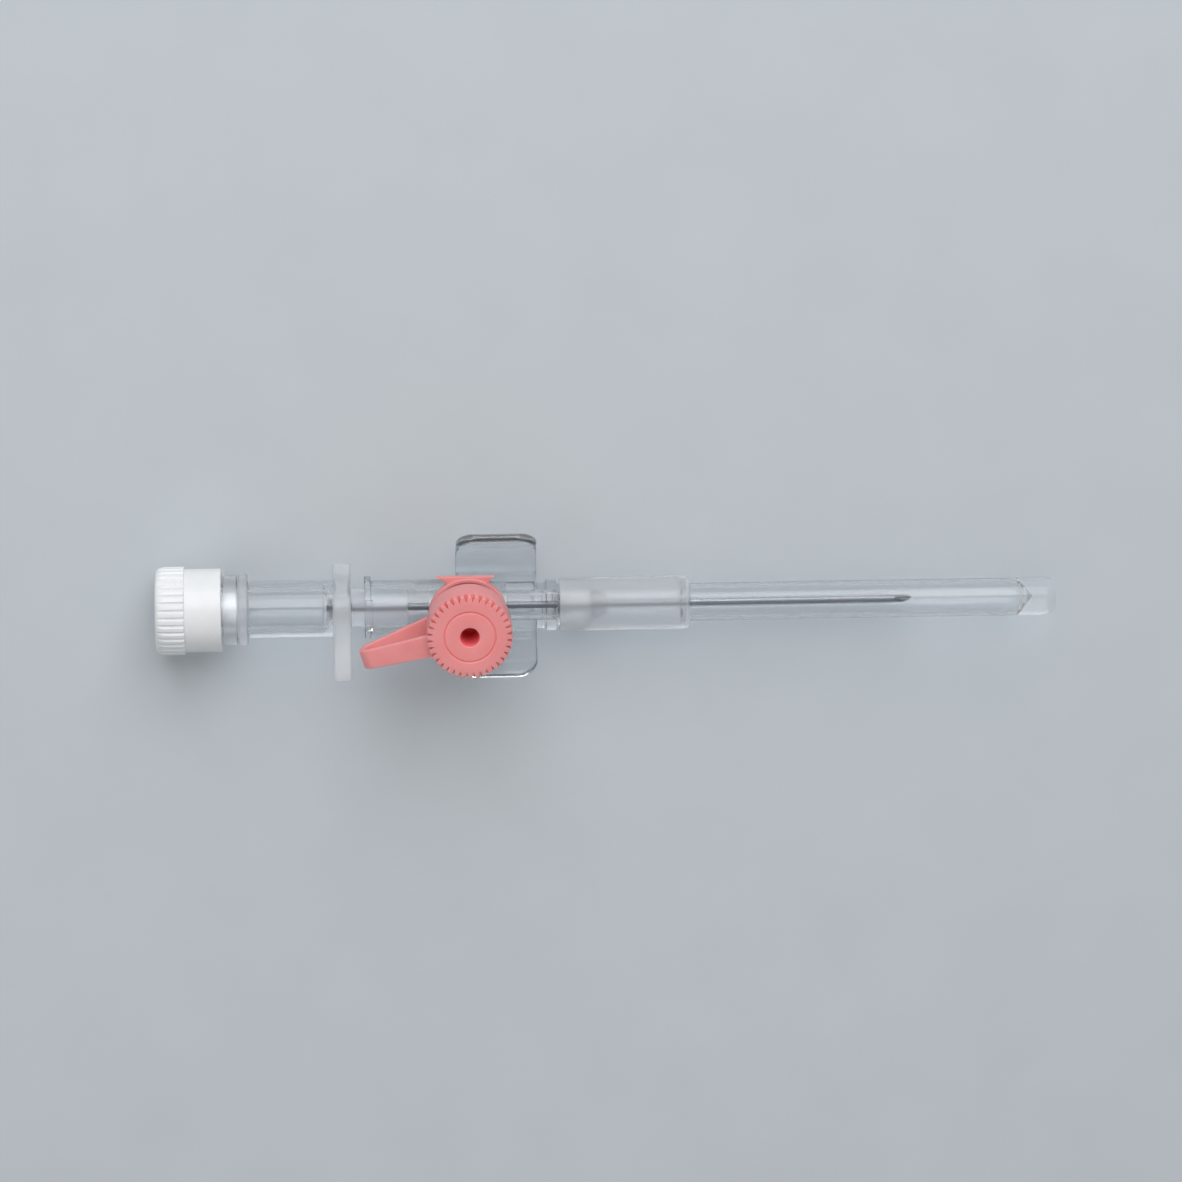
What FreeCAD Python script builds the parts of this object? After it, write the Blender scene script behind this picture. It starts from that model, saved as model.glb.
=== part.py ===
import FreeCAD, Part
import math
import os

# Ported intravenous cannula, complete with its needle, needle cover and closing plug.
# Lengths are in millimetres and angles in degrees. X runs along the cannula with the
# tip at +X, Z is up. The origin lies in the plane the wings rest on, straight below the
# axis of the injection port. Places called _x are measured from that port axis, and
# places called _rise are heights above the axis of the cannula.

# White closing plug
plug_radius = 4.9
plug_skirt_radius = 4.62
plug_rear_x = -34.5
plug_grip_length = 3.2
plug_skirt_length = 4.1
plug_end_thickness = 1.5
plug_thread_radius = 4.05
plug_rib_count = 36
plug_rib_groove_width = 0.5
plug_edge_run = 0.4
plug_edge_drop = 1.15
plug_dish_radius = 3.2
plug_dish_depth = 0.45
plug_bore_radius = 1.25
plug_vent_radius = 0.45
plug_cone_length = 7.4
filter_length = 2.4
filter_clearance = 0.02

# Conical fittings, with the taper of a luer given as radius lost per length
luer_taper = 0.03
luer_mouth_radius = 2.15
luer_clearance = 0.03
luer_lug_radius = 3.9
luer_lug_width = 0.9
luer_lug_angle = 56
luer_lug_lead = 0.25

# Needle hub: flash chamber, grip plate and nose in one clear moulding
chamber_radius = 3.15
chamber_rear_radius = 2.95
chamber_mouth_gap = 0.35
chamber_socket_depth = 7.9
chamber_bore_radius = 1.9
chamber_stop_gap = 0.2
chamber_collar_radius = 3.85
chamber_collar_width = 1.5
chamber_groove_width = 0.25
chamber_flange_radius = 4.0
chamber_flange_width = 0.95
plate_thickness = 1.95
plate_half_width = 4.9
plate_top_rise = 13.4
plate_floor_clearance = 0.5
plate_corner_round = 1.6
plate_waist_depth = 0.28
plate_waist_height = 8.9
nose_gap = 1.5
nose_length = 4.8
needle_seat_wall = 1.3
needle_stub = 0.8

# Catheter hub: luer socket, port and wings in one clear moulding
hub_mouth_x = -11.4
hub_socket_depth = 5.6
hub_rear_radius = 3.0
hub_front_radius = 2.6
hub_flange_radius = 3.5
hub_flange_width = 0.7
hub_collar_x = 8.7
hub_collar_radius = 2.85
hub_collar_width = 1.2
cover_seat_radius = 2.3
cover_seat_length = 3.4
nose_shoulder_radius = 1.75
nose_tip_radius = 1.1
nose_tip_x = 15.4
nose_shoulder_length = 1.9
valve_length = 8.6
valve_radius = 1.75
valve_bore_radius = 1.15

# Injection port on the catheter hub
port_boss_radius = 3.3
port_radius = 2.85
port_top_rise = 9.4
port_rim_radius = 3.05
port_rim_height = 0.8
port_bore_depth = 6.0
port_hole_radius = 0.8
port_seat_radius = 4.0
port_seat_rise = 3.3
port_seat_thickness = 0.9

# Wings
wing_rear_x = -1.2
wing_front_x = 7.8
wing_thickness = 0.9
wing_flat_half_width = 3.0
wing_bend_radius = 3.8
wing_angle = 58
wing_blade_length = 4.2
wing_corner_round = 2.4
saddle_top_half_width = 2.1
saddle_base_half_width = 2.9

# Needle, catheter and the metal eyelet that wedges the catheter in its hub
needle_radius = 0.4
needle_bore_radius = 0.26
needle_protrusion = 2.2
needle_bevel_angle = 20
needle_lancet_angle = 27
needle_lancet_turn = 38
needle_lancet_lift = 0.055
grind_block_size = 8.0
needle_clearance = 0.02
catheter_wall = 0.13
catheter_length = 32.0
catheter_tip_taper_length = 1.8
catheter_tip_wall = 0.05
eyelet_clearance = 0.04
eyelet_wall = 0.1
eyelet_sleeve_length = 2.4
eyelet_funnel_length = 1.2
eyelet_funnel_radius = 1.05
eyelet_setback = 2.0
catheter_step_length = 0.5

# Port cap with its tether
cap_radius = 4.67
cap_top_rise = 12.5
cap_bottom_rise = 7.4
cap_roof_gap = 0.2
cap_bore_radius = 3.45
cap_bead_radius = 3.28
cap_bead_height = 0.4
cap_stem_length = 3.2
cap_stem_radius = 1.98
cap_stem_tip_radius = 1.86
cap_hole_radius = 1.05
cap_hole_depth = 5.2
cap_ring_groove_radius = 2.8
cap_ring_groove_width = 0.28
cap_ring_groove_depth = 0.2
cap_tooth_count = 36
cap_notch_width = 0.44
cap_notch_depth = 0.66
cap_notch_height = 0.95
cap_edge_chamfer = 0.15
tether_angle = 17
tether_root_width = 2.45
tether_fold_width = 2.05
tether_thickness = 0.7
tether_ring_clearance = 0.04
tether_ring_radius = 4.35
tether_ring_thickness = 0.85
tether_lip_width = 0.42
tether_lip_height = 0.45
tether_ear_reach = 4.46
tether_ear_rear_reach = 3.6
tether_ear_front_reach = 2.95
tether_ear_root = 2.2
tether_fold_reach = 10.8
tether_fold_radius = 1.2
tether_fold_rise = 7.7
tether_tab_reach = 5.35
tether_tab_rise = 11.05
tether_joint_gap = 0.02

# Needle cover
cover_rear_gap = 0.3
cover_base_length = 14.4
cover_base_radius = 2.95
cover_seat_clearance = 0.03
cover_bore_step = 0.25
cover_tube_radius = 2.12
cover_tube_wall = 0.55
cover_length = 55.3
cover_end_thickness = 2.6
cover_base_round = 0.6
cover_base_steps = 2
cover_end_round = 1.5
cover_end_steps = 4
cover_neck_length = 1.2

# How far cutters reach past what they cut, and mouldings run into what they join
overrun = 1.0
root_depth = 0.2

axis_height = plug_radius
catheter_bore_radius = needle_radius + needle_clearance
catheter_radius = catheter_bore_radius + catheter_wall
catheter_tip_x = nose_tip_x + catheter_length
needle_tip_x = catheter_tip_x + needle_protrusion
plug_front_x = plug_rear_x + plug_grip_length + plug_skirt_length
plug_floor_x = plug_rear_x + plug_end_thickness
chamber_mouth_x = plug_floor_x + chamber_mouth_gap
plate_front_x = hub_mouth_x - nose_gap
plate_rear_x = plate_front_x - plate_thickness
chamber_end_x = plate_front_x - needle_seat_wall
port_seat_z = axis_height + port_seat_rise
port_top_z = axis_height + port_top_rise
cover_rear_x = hub_collar_x + hub_collar_width + cover_rear_gap

along = FreeCAD.Vector(1, 0, 0)
upward = FreeCAD.Vector(0, 0, 1)
axis_point = FreeCAD.Vector(0, 0, axis_height)


def closed_face(corners):
    return Part.Face(Part.makePolygon(corners + [corners[0]]))


def turned(profile):
    """Solid turned about the cannula's axis from (x, radius) corners."""
    corners = [FreeCAD.Vector(x, 0, axis_height + radius) for x, radius in profile]
    return closed_face(corners).revolve(axis_point, along, 360)


def upright(profile):
    """Solid turned about the port's axis from (radius, z) corners."""
    corners = [FreeCAD.Vector(radius, 0, z) for radius, z in profile]
    return closed_face(corners).revolve(FreeCAD.Vector(0, 0, 0), upward, 360)


def socket_radius(depth):
    """Radius of a luer socket at a depth below its mouth."""
    return luer_mouth_radius - luer_taper * depth


def sector(radius, angle, start_x, width, middle_angle):
    """Wedge about the cannula's axis, used to trim a flange into lugs."""
    wedge = Part.makeCylinder(radius, width, FreeCAD.Vector(start_x, 0, axis_height), along, angle)
    wedge.rotate(axis_point, along, middle_angle - angle / 2)
    return wedge


def luer_lugs(mouth_x, root_radius):
    """Two lugs on opposite sides of a luer socket's mouth."""
    ring = turned([
        (mouth_x, root_radius),
        (mouth_x, luer_lug_radius - luer_lug_lead),
        (mouth_x + luer_lug_lead, luer_lug_radius),
        (mouth_x + luer_lug_width, luer_lug_radius),
        (mouth_x + luer_lug_width, root_radius),
    ])
    reach = luer_lug_radius + overrun
    upper = sector(reach, luer_lug_angle, mouth_x, luer_lug_width, 0)
    lower = sector(reach, luer_lug_angle, mouth_x, luer_lug_width, 180)
    return ring.common(upper.fuse(lower))


def plate_blank():
    """Upright plate across the cannula: round around the axis below, square-shouldered above."""
    bottom_z = plate_floor_clearance
    top_z = axis_height + plate_top_rise
    shoulder_z = top_z - plate_corner_round
    flat_y = plate_half_width - plate_corner_round
    diagonal = math.sqrt(0.5) * plate_corner_round
    foot_angle = math.asin((axis_height - bottom_z) / plate_half_width)

    def point(y, z):
        return FreeCAD.Vector(plate_rear_x, y, z)

    def around(angle):
        return point(plate_half_width * math.cos(angle), axis_height - plate_half_width * math.sin(angle))

    def mirrored(place):
        return FreeCAD.Vector(place.x, -place.y, place.z)

    foot = around(foot_angle)
    belly = around(foot_angle / 2)
    side = around(0)
    shoulder = point(plate_half_width, shoulder_z)
    corner = point(flat_y + diagonal, shoulder_z + diagonal)
    top = point(flat_y, top_z)
    edges = [
        Part.LineSegment(mirrored(foot), foot).toShape(),
        Part.Arc(foot, belly, side).toShape(),
        Part.LineSegment(side, shoulder).toShape(),
        Part.Arc(shoulder, corner, top).toShape(),
        Part.LineSegment(top, mirrored(top)).toShape(),
        Part.Arc(mirrored(top), mirrored(corner), mirrored(shoulder)).toShape(),
        Part.LineSegment(mirrored(shoulder), mirrored(side)).toShape(),
        Part.Arc(mirrored(side), mirrored(belly), mirrored(foot)).toShape(),
    ]
    return Part.Face(Part.Wire(edges)).extrude(along * plate_thickness)


def luer_plug():
    """Closing plug: ribbed grip, smooth skirt over the threads and a hollow luer cone."""
    grip_end_x = plug_rear_x + plug_grip_length
    body = turned([
        (plug_rear_x, 0),
        (plug_rear_x, plug_radius - plug_edge_drop),
        (plug_rear_x + plug_edge_run, plug_radius - plug_edge_run),
        (plug_rear_x + plug_edge_drop, plug_radius),
        (grip_end_x, plug_radius),
        (grip_end_x, plug_skirt_radius),
        (plug_front_x, plug_skirt_radius),
        (plug_front_x, 0),
    ])
    body = body.cut(grip_grooves(grip_end_x))
    hollow = turned([
        (plug_floor_x, 0),
        (plug_floor_x, plug_thread_radius),
        (plug_front_x + overrun, plug_thread_radius),
        (plug_front_x + overrun, 0),
    ])
    dish = turned([
        (plug_rear_x - overrun, 0),
        (plug_rear_x - overrun, plug_dish_radius),
        (plug_rear_x, plug_dish_radius),
        (plug_rear_x + plug_dish_depth, plug_dish_radius - plug_dish_depth),
        (plug_rear_x + plug_dish_depth, 0),
    ])
    tip_x = plug_floor_x + plug_cone_length
    root = socket_radius(plug_floor_x - chamber_mouth_x) - luer_clearance
    tip = socket_radius(tip_x - chamber_mouth_x) - luer_clearance
    cone = turned([(plug_floor_x, 0), (plug_floor_x, root), (tip_x, tip), (tip_x, 0)])
    bore = turned([
        (plug_floor_x, 0),
        (plug_floor_x, plug_bore_radius),
        (tip_x + overrun, plug_bore_radius),
        (tip_x + overrun, 0),
    ])
    vent_start = FreeCAD.Vector(plug_rear_x - overrun, 0, axis_height)
    vent = Part.makeCylinder(plug_vent_radius, plug_end_thickness + 2 * overrun, vent_start, along)
    return body.cut(hollow).cut(dish).fuse(cone).cut(bore).cut(vent)


def grip_grooves(grip_end_x):
    """Wedge-shaped grooves between the ribs of the plug's grip."""
    floor_z = axis_height + plug_skirt_radius
    rim_z = floor_z + overrun
    slope = (plug_rib_groove_width / 2) / (plug_radius - plug_skirt_radius)
    corners = [
        FreeCAD.Vector(grip_end_x, 0, floor_z),
        FreeCAD.Vector(grip_end_x, slope * overrun, rim_z),
        FreeCAD.Vector(grip_end_x, -slope * overrun, rim_z),
    ]
    cutter = closed_face(corners).extrude(along * -(plug_grip_length + overrun))
    grooves = []
    for index in range(plug_rib_count):
        groove = cutter.copy()
        groove.rotate(axis_point, along, 360 * (index + 0.5) / plug_rib_count)
        grooves.append(groove)
    return Part.makeCompound(grooves)


def vent_filter():
    """Porous disc that lets air out of the flash chamber and holds blood back."""
    radius = plug_bore_radius - filter_clearance
    start = FreeCAD.Vector(plug_floor_x + luer_clearance, 0, axis_height)
    return Part.makeCylinder(radius, filter_length, start, along)


def needle_hub():
    """Flash chamber with a luer socket, grip plate and nose."""
    collar_x = plug_front_x + chamber_stop_gap
    groove_x = collar_x + chamber_collar_width
    flange_x = groove_x + chamber_groove_width
    flange_end_x = flange_x + chamber_flange_width
    body = turned([
        (chamber_mouth_x, 0),
        (chamber_mouth_x, chamber_rear_radius),
        (collar_x, chamber_rear_radius),
        (collar_x, chamber_collar_radius),
        (groove_x, chamber_collar_radius),
        (groove_x, chamber_radius),
        (flange_x, chamber_radius),
        (flange_x, chamber_flange_radius),
        (flange_end_x, chamber_flange_radius),
        (flange_end_x, chamber_radius),
        (plate_front_x, chamber_radius),
        (plate_front_x, 0),
    ])
    neck = socket_radius(0) - luer_clearance
    nose_end = socket_radius(nose_length) - luer_clearance
    nose = turned([
        (plate_front_x - overrun, 0),
        (plate_front_x - overrun, neck),
        (hub_mouth_x, neck),
        (hub_mouth_x + nose_length, nose_end),
        (hub_mouth_x + nose_length, 0),
    ])
    body = body.fuse([nose, grip_plate(), luer_lugs(chamber_mouth_x, chamber_rear_radius - root_depth)])
    socket_end_x = chamber_mouth_x + chamber_socket_depth
    hollow = turned([
        (chamber_mouth_x - overrun, 0),
        (chamber_mouth_x - overrun, socket_radius(0)),
        (chamber_mouth_x, socket_radius(0)),
        (socket_end_x, socket_radius(chamber_socket_depth)),
        (socket_end_x, chamber_bore_radius),
        (chamber_end_x - chamber_bore_radius + needle_radius, chamber_bore_radius),
        (chamber_end_x, needle_radius),
        (hub_mouth_x + nose_length + overrun, needle_radius),
        (hub_mouth_x + nose_length + overrun, 0),
    ])
    return body.cut(hollow)


def grip_plate():
    """Thumb plate with shallow hollows in both faces above the chamber."""
    plate = plate_blank()
    hollow_radius = (plate_waist_height / 2) ** 2 / (2 * plate_waist_depth)
    middle_z = axis_height + (chamber_radius + plate_top_rise) / 2
    for face_x, side in ((plate_rear_x, -1), (plate_front_x, 1)):
        centre_x = face_x + side * (hollow_radius - plate_waist_depth)
        roller = Part.makeCylinder(
            hollow_radius,
            2 * (plate_half_width + overrun),
            FreeCAD.Vector(centre_x, -plate_half_width - overrun, middle_z),
            FreeCAD.Vector(0, 1, 0),
        )
        plate = plate.cut(roller)
    return plate


def needle():
    """Steel tube with a bevel on top and two side grinds that sharpen its point."""
    rear_x = chamber_end_x - needle_stub
    tube = turned([
        (rear_x, needle_bore_radius),
        (rear_x, needle_radius),
        (needle_tip_x, needle_radius),
        (needle_tip_x, needle_bore_radius),
    ])
    point = FreeCAD.Vector(needle_tip_x, 0, axis_height - needle_radius)
    tube = tube.cut(grind(point, needle_bevel_angle, 0))
    for turn in (needle_lancet_turn, -needle_lancet_turn):
        tube = tube.cut(grind(point + upward * needle_lancet_lift, needle_lancet_angle, turn))
    return tube


def grind(point, angle, turn):
    """Block that takes off what lies above a plane rising rearwards from the point."""
    size = grind_block_size
    block = Part.makeBox(2 * size, size, size, FreeCAD.Vector(point.x - size, -size / 2, point.z))
    block.rotate(point, FreeCAD.Vector(0, 1, 0), angle)
    block.rotate(axis_point, along, turn)
    return block


def catheter_tube():
    """Soft tube with a thinned tip, flared at the rear over the eyelet."""
    sleeve = sleeve_radius()
    front_x, sleeve_x, rear_x = eyelet_places()
    step_x = front_x + catheter_step_length
    taper_x = catheter_tip_x - catheter_tip_taper_length
    return turned([
        (rear_x, eyelet_funnel_radius),
        (rear_x, eyelet_funnel_radius + catheter_wall),
        (sleeve_x, sleeve + catheter_wall),
        (front_x, sleeve + catheter_wall),
        (step_x, catheter_radius),
        (taper_x, catheter_radius),
        (catheter_tip_x, catheter_bore_radius + catheter_tip_wall),
        (catheter_tip_x, catheter_bore_radius),
        (step_x, catheter_bore_radius),
        (front_x, sleeve),
        (sleeve_x, sleeve),
    ])


def sleeve_radius():
    return needle_radius + eyelet_clearance + eyelet_wall


def eyelet_places():
    """Front of the sleeve, rear of the sleeve and rear of the funnel."""
    front_x = nose_tip_x - eyelet_setback
    sleeve_x = front_x - eyelet_sleeve_length
    return front_x, sleeve_x, sleeve_x - eyelet_funnel_length


def catheter_eyelet():
    """Metal funnel that spreads the catheter's rear end against the hub."""
    front_x, sleeve_x, rear_x = eyelet_places()
    sleeve = sleeve_radius()
    return turned([
        (rear_x, eyelet_funnel_radius - eyelet_wall),
        (rear_x, eyelet_funnel_radius),
        (sleeve_x, sleeve),
        (front_x, sleeve),
        (front_x, sleeve - eyelet_wall),
        (sleeve_x, sleeve - eyelet_wall),
    ])


def hub_bore():
    """Everything that is hollow along the catheter hub's axis."""
    front_x, sleeve_x, flare_x = eyelet_places()
    flare = eyelet_funnel_radius + catheter_wall
    socket_end_x = hub_mouth_x + hub_socket_depth
    return turned([
        (hub_mouth_x - overrun, 0),
        (hub_mouth_x - overrun, socket_radius(0)),
        (hub_mouth_x, socket_radius(0)),
        (socket_end_x, socket_radius(hub_socket_depth)),
        (socket_end_x, valve_radius),
        (valve_length / 2, valve_radius),
        (valve_length / 2, flare),
        (flare_x, flare),
        (sleeve_x, sleeve_radius() + catheter_wall),
        (front_x, sleeve_radius() + catheter_wall),
        (front_x + catheter_step_length, catheter_radius),
        (nose_tip_x + overrun, catheter_radius),
        (nose_tip_x + overrun, 0),
    ])


def port_bore():
    """Luer socket of the injection port, with the small hole that the valve covers."""
    floor_z = port_top_z - port_bore_depth
    return upright([
        (0, axis_height),
        (port_hole_radius, axis_height),
        (port_hole_radius, floor_z),
        (socket_radius(port_bore_depth), floor_z),
        (socket_radius(0), port_top_z),
        (socket_radius(0), port_top_z + overrun),
        (0, port_top_z + overrun),
    ])


def catheter_hub():
    """Catheter hub with its luer socket, nose, injection port, saddle and wings."""
    seat_end_x = hub_collar_x + hub_collar_width + cover_seat_length
    shoulder_x = nose_tip_x - nose_shoulder_length
    flange_end_x = hub_mouth_x + hub_flange_width
    body = turned([
        (hub_mouth_x, 0),
        (hub_mouth_x, hub_flange_radius),
        (flange_end_x, hub_flange_radius),
        (flange_end_x, hub_rear_radius),
        (0, hub_rear_radius),
        (port_boss_radius, hub_front_radius),
        (hub_collar_x, hub_front_radius),
        (hub_collar_x, hub_collar_radius),
        (hub_collar_x + hub_collar_width, hub_collar_radius),
        (hub_collar_x + hub_collar_width, cover_seat_radius),
        (seat_end_x, cover_seat_radius),
        (shoulder_x, nose_shoulder_radius),
        (nose_tip_x, nose_tip_radius),
        (nose_tip_x, 0),
    ])
    port = upright([
        (0, axis_height),
        (port_boss_radius, axis_height),
        (port_radius, port_seat_z - port_seat_thickness),
        (port_seat_radius, port_seat_z - port_seat_thickness),
        (port_seat_radius, port_seat_z),
        (port_radius, port_seat_z),
        (port_radius, port_top_z - port_rim_height),
        (port_rim_radius, port_top_z - port_rim_height),
        (port_rim_radius, port_top_z),
        (0, port_top_z),
    ])
    lugs = luer_lugs(hub_mouth_x, hub_rear_radius - root_depth)
    body = body.fuse([port, lugs, saddle(), wings()])
    return body.cut(hub_bore()).cut(port_bore())


def saddle():
    """Web that carries the hub on its wings, wider at the foot."""
    corners = [
        FreeCAD.Vector(wing_rear_x, -saddle_base_half_width, wing_thickness / 2),
        FreeCAD.Vector(wing_rear_x, saddle_base_half_width, wing_thickness / 2),
        FreeCAD.Vector(wing_rear_x, saddle_top_half_width, axis_height - hub_front_radius / 2),
        FreeCAD.Vector(wing_rear_x, -saddle_top_half_width, axis_height - hub_front_radius / 2),
    ]
    return closed_face(corners).extrude(along * (wing_front_x - wing_rear_x))


def wings():
    """Both wings as one bent blade, trimmed to rounded outer corners."""
    section = Part.Face(Part.Wire(wing_section()))
    blade = section.extrude(along * (wing_front_x - wing_rear_x))
    return blade.common(wing_outline())


def wing_section():
    """Edges of the blade's cross-section: flat in the middle, bent up at both sides."""
    bend = math.radians(wing_angle)

    def place(side, offset, angle, run):
        """Point at a height inside the blade, after an angle of bend and a straight run."""
        radius = wing_bend_radius - offset
        y = wing_flat_half_width + radius * math.sin(angle) + run * math.cos(angle)
        z = wing_bend_radius - radius * math.cos(angle) + run * math.sin(angle)
        return FreeCAD.Vector(wing_rear_x, side * y, z)

    def half(side, offset):
        start = place(side, offset, 0, 0)
        middle = place(side, offset, bend / 2, 0)
        end = place(side, offset, bend, 0)
        tip = place(side, offset, bend, wing_blade_length)
        return start, middle, end, tip

    edges = []
    tips = {}
    for offset in (0, wing_thickness):
        starts = []
        for side in (-1, 1):
            start, middle, end, tip = half(side, offset)
            edges.append(Part.Arc(start, middle, end).toShape())
            edges.append(Part.LineSegment(end, tip).toShape())
            starts.append(start)
            tips[(side, offset)] = tip
        edges.append(Part.LineSegment(starts[0], starts[1]).toShape())
    for side in (-1, 1):
        edges.append(Part.LineSegment(tips[(side, 0)], tips[(side, wing_thickness)]).toShape())
    return Part.__sortEdges__(edges)


def wing_outline():
    """Plan of the wings as an upright prism with rounded outer corners."""
    bend = math.radians(wing_angle)
    reach = wing_flat_half_width + wing_bend_radius * math.sin(bend) + wing_blade_length * math.cos(bend)
    height = 2 * (wing_bend_radius + overrun) + wing_blade_length
    corner = FreeCAD.Vector(wing_rear_x, -reach, -overrun)
    plan = Part.makeBox(wing_front_x - wing_rear_x, 2 * reach, height, corner)
    corners = [
        edge for edge in plan.Edges
        if edge.BoundBox.ZLength > height / 2
    ]
    return plan.makeFillet(wing_corner_round * math.cos(bend), corners)


def valve_sleeve():
    """Silicone sleeve inside the hub that closes the port's hole from below."""
    half = valve_length / 2
    return turned([
        (-half, valve_bore_radius),
        (-half, valve_radius),
        (half, valve_radius),
        (half, valve_bore_radius),
    ])


def port_cap():
    """Cap with a toothed rim, a hollow stem and the tab that its tether grows from."""
    top_z = axis_height + cap_top_rise
    bottom_z = axis_height + cap_bottom_rise
    roof_z = port_top_z + cap_roof_gap
    stem_z = roof_z - cap_stem_length
    drum = upright([
        (0, stem_z),
        (cap_stem_tip_radius, stem_z),
        (cap_stem_radius, roof_z),
        (cap_bore_radius, roof_z),
        (cap_bore_radius, bottom_z + cap_bead_height),
        (cap_bead_radius, bottom_z + cap_bead_height / 2),
        (cap_bore_radius, bottom_z),
        (cap_radius, bottom_z),
        (cap_radius, top_z - cap_edge_chamfer),
        (cap_radius - cap_edge_chamfer, top_z),
        (0, top_z),
    ])
    hole_floor = FreeCAD.Vector(0, 0, top_z - cap_hole_depth)
    hole = Part.makeCylinder(cap_hole_radius, cap_hole_depth + overrun, hole_floor, upward)
    groove = upright([
        (cap_ring_groove_radius, top_z - cap_ring_groove_depth),
        (cap_ring_groove_radius + cap_ring_groove_width / 2, top_z),
        (cap_ring_groove_radius - cap_ring_groove_width / 2, top_z),
    ])
    drum = drum.cut(hole).cut(groove).cut(cap_notches(top_z - cap_notch_height, top_z))
    return drum.fuse(tether_tab())


def cap_notches(low_z, top_z):
    """Wedge-shaped notches between the teeth of the cap's rim, deepest in their middle."""
    apex_x = cap_radius - cap_notch_depth
    slope = (cap_notch_width / 2) / cap_notch_depth
    far_x = cap_radius + overrun
    half = slope * (far_x - apex_x)
    corners = [
        FreeCAD.Vector(apex_x, 0, low_z),
        FreeCAD.Vector(far_x, half, low_z),
        FreeCAD.Vector(far_x, -half, low_z),
    ]
    cutter = closed_face(corners).extrude(upward * (top_z - low_z + overrun))
    slots = []
    for index in range(cap_tooth_count):
        slot = cutter.copy()
        slot.rotate(FreeCAD.Vector(0, 0, 0), upward, 360 * (index + 0.5) / cap_tooth_count)
        slots.append(slot)
    return Part.makeCompound(slots)


def to_tether(shape):
    """Turn what was built along -X to the direction in which the tether leaves."""
    shape.rotate(FreeCAD.Vector(0, 0, 0), upward, tether_angle)
    return shape


def tether_tab():
    """Stub on the cap's side, cut off square where the tether starts."""
    length = tether_tab_reach - cap_bore_radius
    low_z = axis_height + tether_tab_rise - tether_thickness / 2
    corner = FreeCAD.Vector(-tether_tab_reach, -tether_root_width / 2, low_z)
    return to_tether(Part.makeBox(length, tether_root_width, tether_thickness, corner))


def tether_heights():
    """Heights of the ring's middle, the fold's centre and the cap's tab."""
    ring_z = port_seat_z + tether_ring_thickness / 2
    return ring_z, axis_height + tether_fold_rise, axis_height + tether_tab_rise


def tether_edges():
    """Outline of the folded strap in its own upright plane, from the ring round to the cap."""
    ring_z, fold_z, tab_z = tether_heights()
    fold = FreeCAD.Vector(-tether_fold_reach, 0, fold_z)
    half = tether_thickness / 2
    lower_root = FreeCAD.Vector(-tether_ring_radius + tether_lip_width, 0, ring_z)
    upper_root = FreeCAD.Vector(-tether_tab_reach + overrun, 0, tab_z)

    def strand(root, side):
        """Touching point and outward normal of the strand that wraps the fold on one side."""
        back = root - fold
        distance = back.Length
        lean = math.acos(tether_fold_radius / distance)
        heading = math.atan2(back.z, back.x) + side * lean
        normal = FreeCAD.Vector(math.cos(heading), 0, math.sin(heading))
        return fold + normal * tether_fold_radius, normal

    low_touch, low_normal = strand(lower_root, -1)
    high_touch, high_normal = strand(upper_root, 1)
    outward = FreeCAD.Vector(-1, 0, 0)
    edges = []
    for shift in (half, -half):
        far = fold + outward * (tether_fold_radius + shift)
        low = low_touch + low_normal * shift
        high = high_touch + high_normal * shift
        edges.append(Part.LineSegment(lower_root + low_normal * shift, low).toShape())
        edges.append(Part.Arc(low, far, high).toShape())
        edges.append(Part.LineSegment(high, upper_root + high_normal * shift).toShape())
    for root, normal in ((lower_root, low_normal), (upper_root, high_normal)):
        edges.append(Part.LineSegment(root + normal * half, root - normal * half).toShape())
    return Part.__sortEdges__(edges)


def cap_tether():
    """Ring around the port's foot and the folded strap that joins it to the cap."""
    inner = port_radius + tether_ring_clearance
    top_z = port_seat_z + tether_ring_thickness
    ring = upright([
        (inner, port_seat_z),
        (tether_ring_radius, port_seat_z),
        (tether_ring_radius, top_z + tether_lip_height),
        (tether_ring_radius - tether_lip_width, top_z + tether_lip_height),
        (tether_ring_radius - tether_lip_width, top_z),
        (inner, top_z),
    ])
    strap = Part.Face(Part.Wire(tether_edges())).extrude(FreeCAD.Vector(0, tether_root_width, 0))
    strap.translate(FreeCAD.Vector(0, -tether_root_width / 2, 0))
    limit = tether_tab_reach + tether_joint_gap
    corner = FreeCAD.Vector(-limit, -tether_root_width, tether_heights()[1])
    trim = Part.makeBox(2 * limit, 2 * tether_root_width, cap_top_rise, corner)
    strap = to_tether(strap.common(tether_plan()).cut(trim))
    hole = Part.makeCylinder(inner, tether_ring_thickness, FreeCAD.Vector(0, 0, port_seat_z), upward)
    ears = ring_ear(1).fuse(ring_ear(-1)).cut(hole)
    return ring.fuse([ears, strap])


def tether_plan():
    """Upright prism that narrows the strap from its roots to the fold."""
    far = tether_fold_reach + tether_fold_radius + tether_thickness
    root = tether_root_width / 2
    end = tether_fold_width / 2
    corners = [
        FreeCAD.Vector(0, -root, axis_height),
        FreeCAD.Vector(-tether_tab_reach, -root, axis_height),
        FreeCAD.Vector(-far, -end, axis_height),
        FreeCAD.Vector(-far, end, axis_height),
        FreeCAD.Vector(-tether_tab_reach, root, axis_height),
        FreeCAD.Vector(0, root, axis_height),
    ]
    return closed_face(corners).extrude(upward * (port_top_rise + cap_top_rise))


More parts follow.
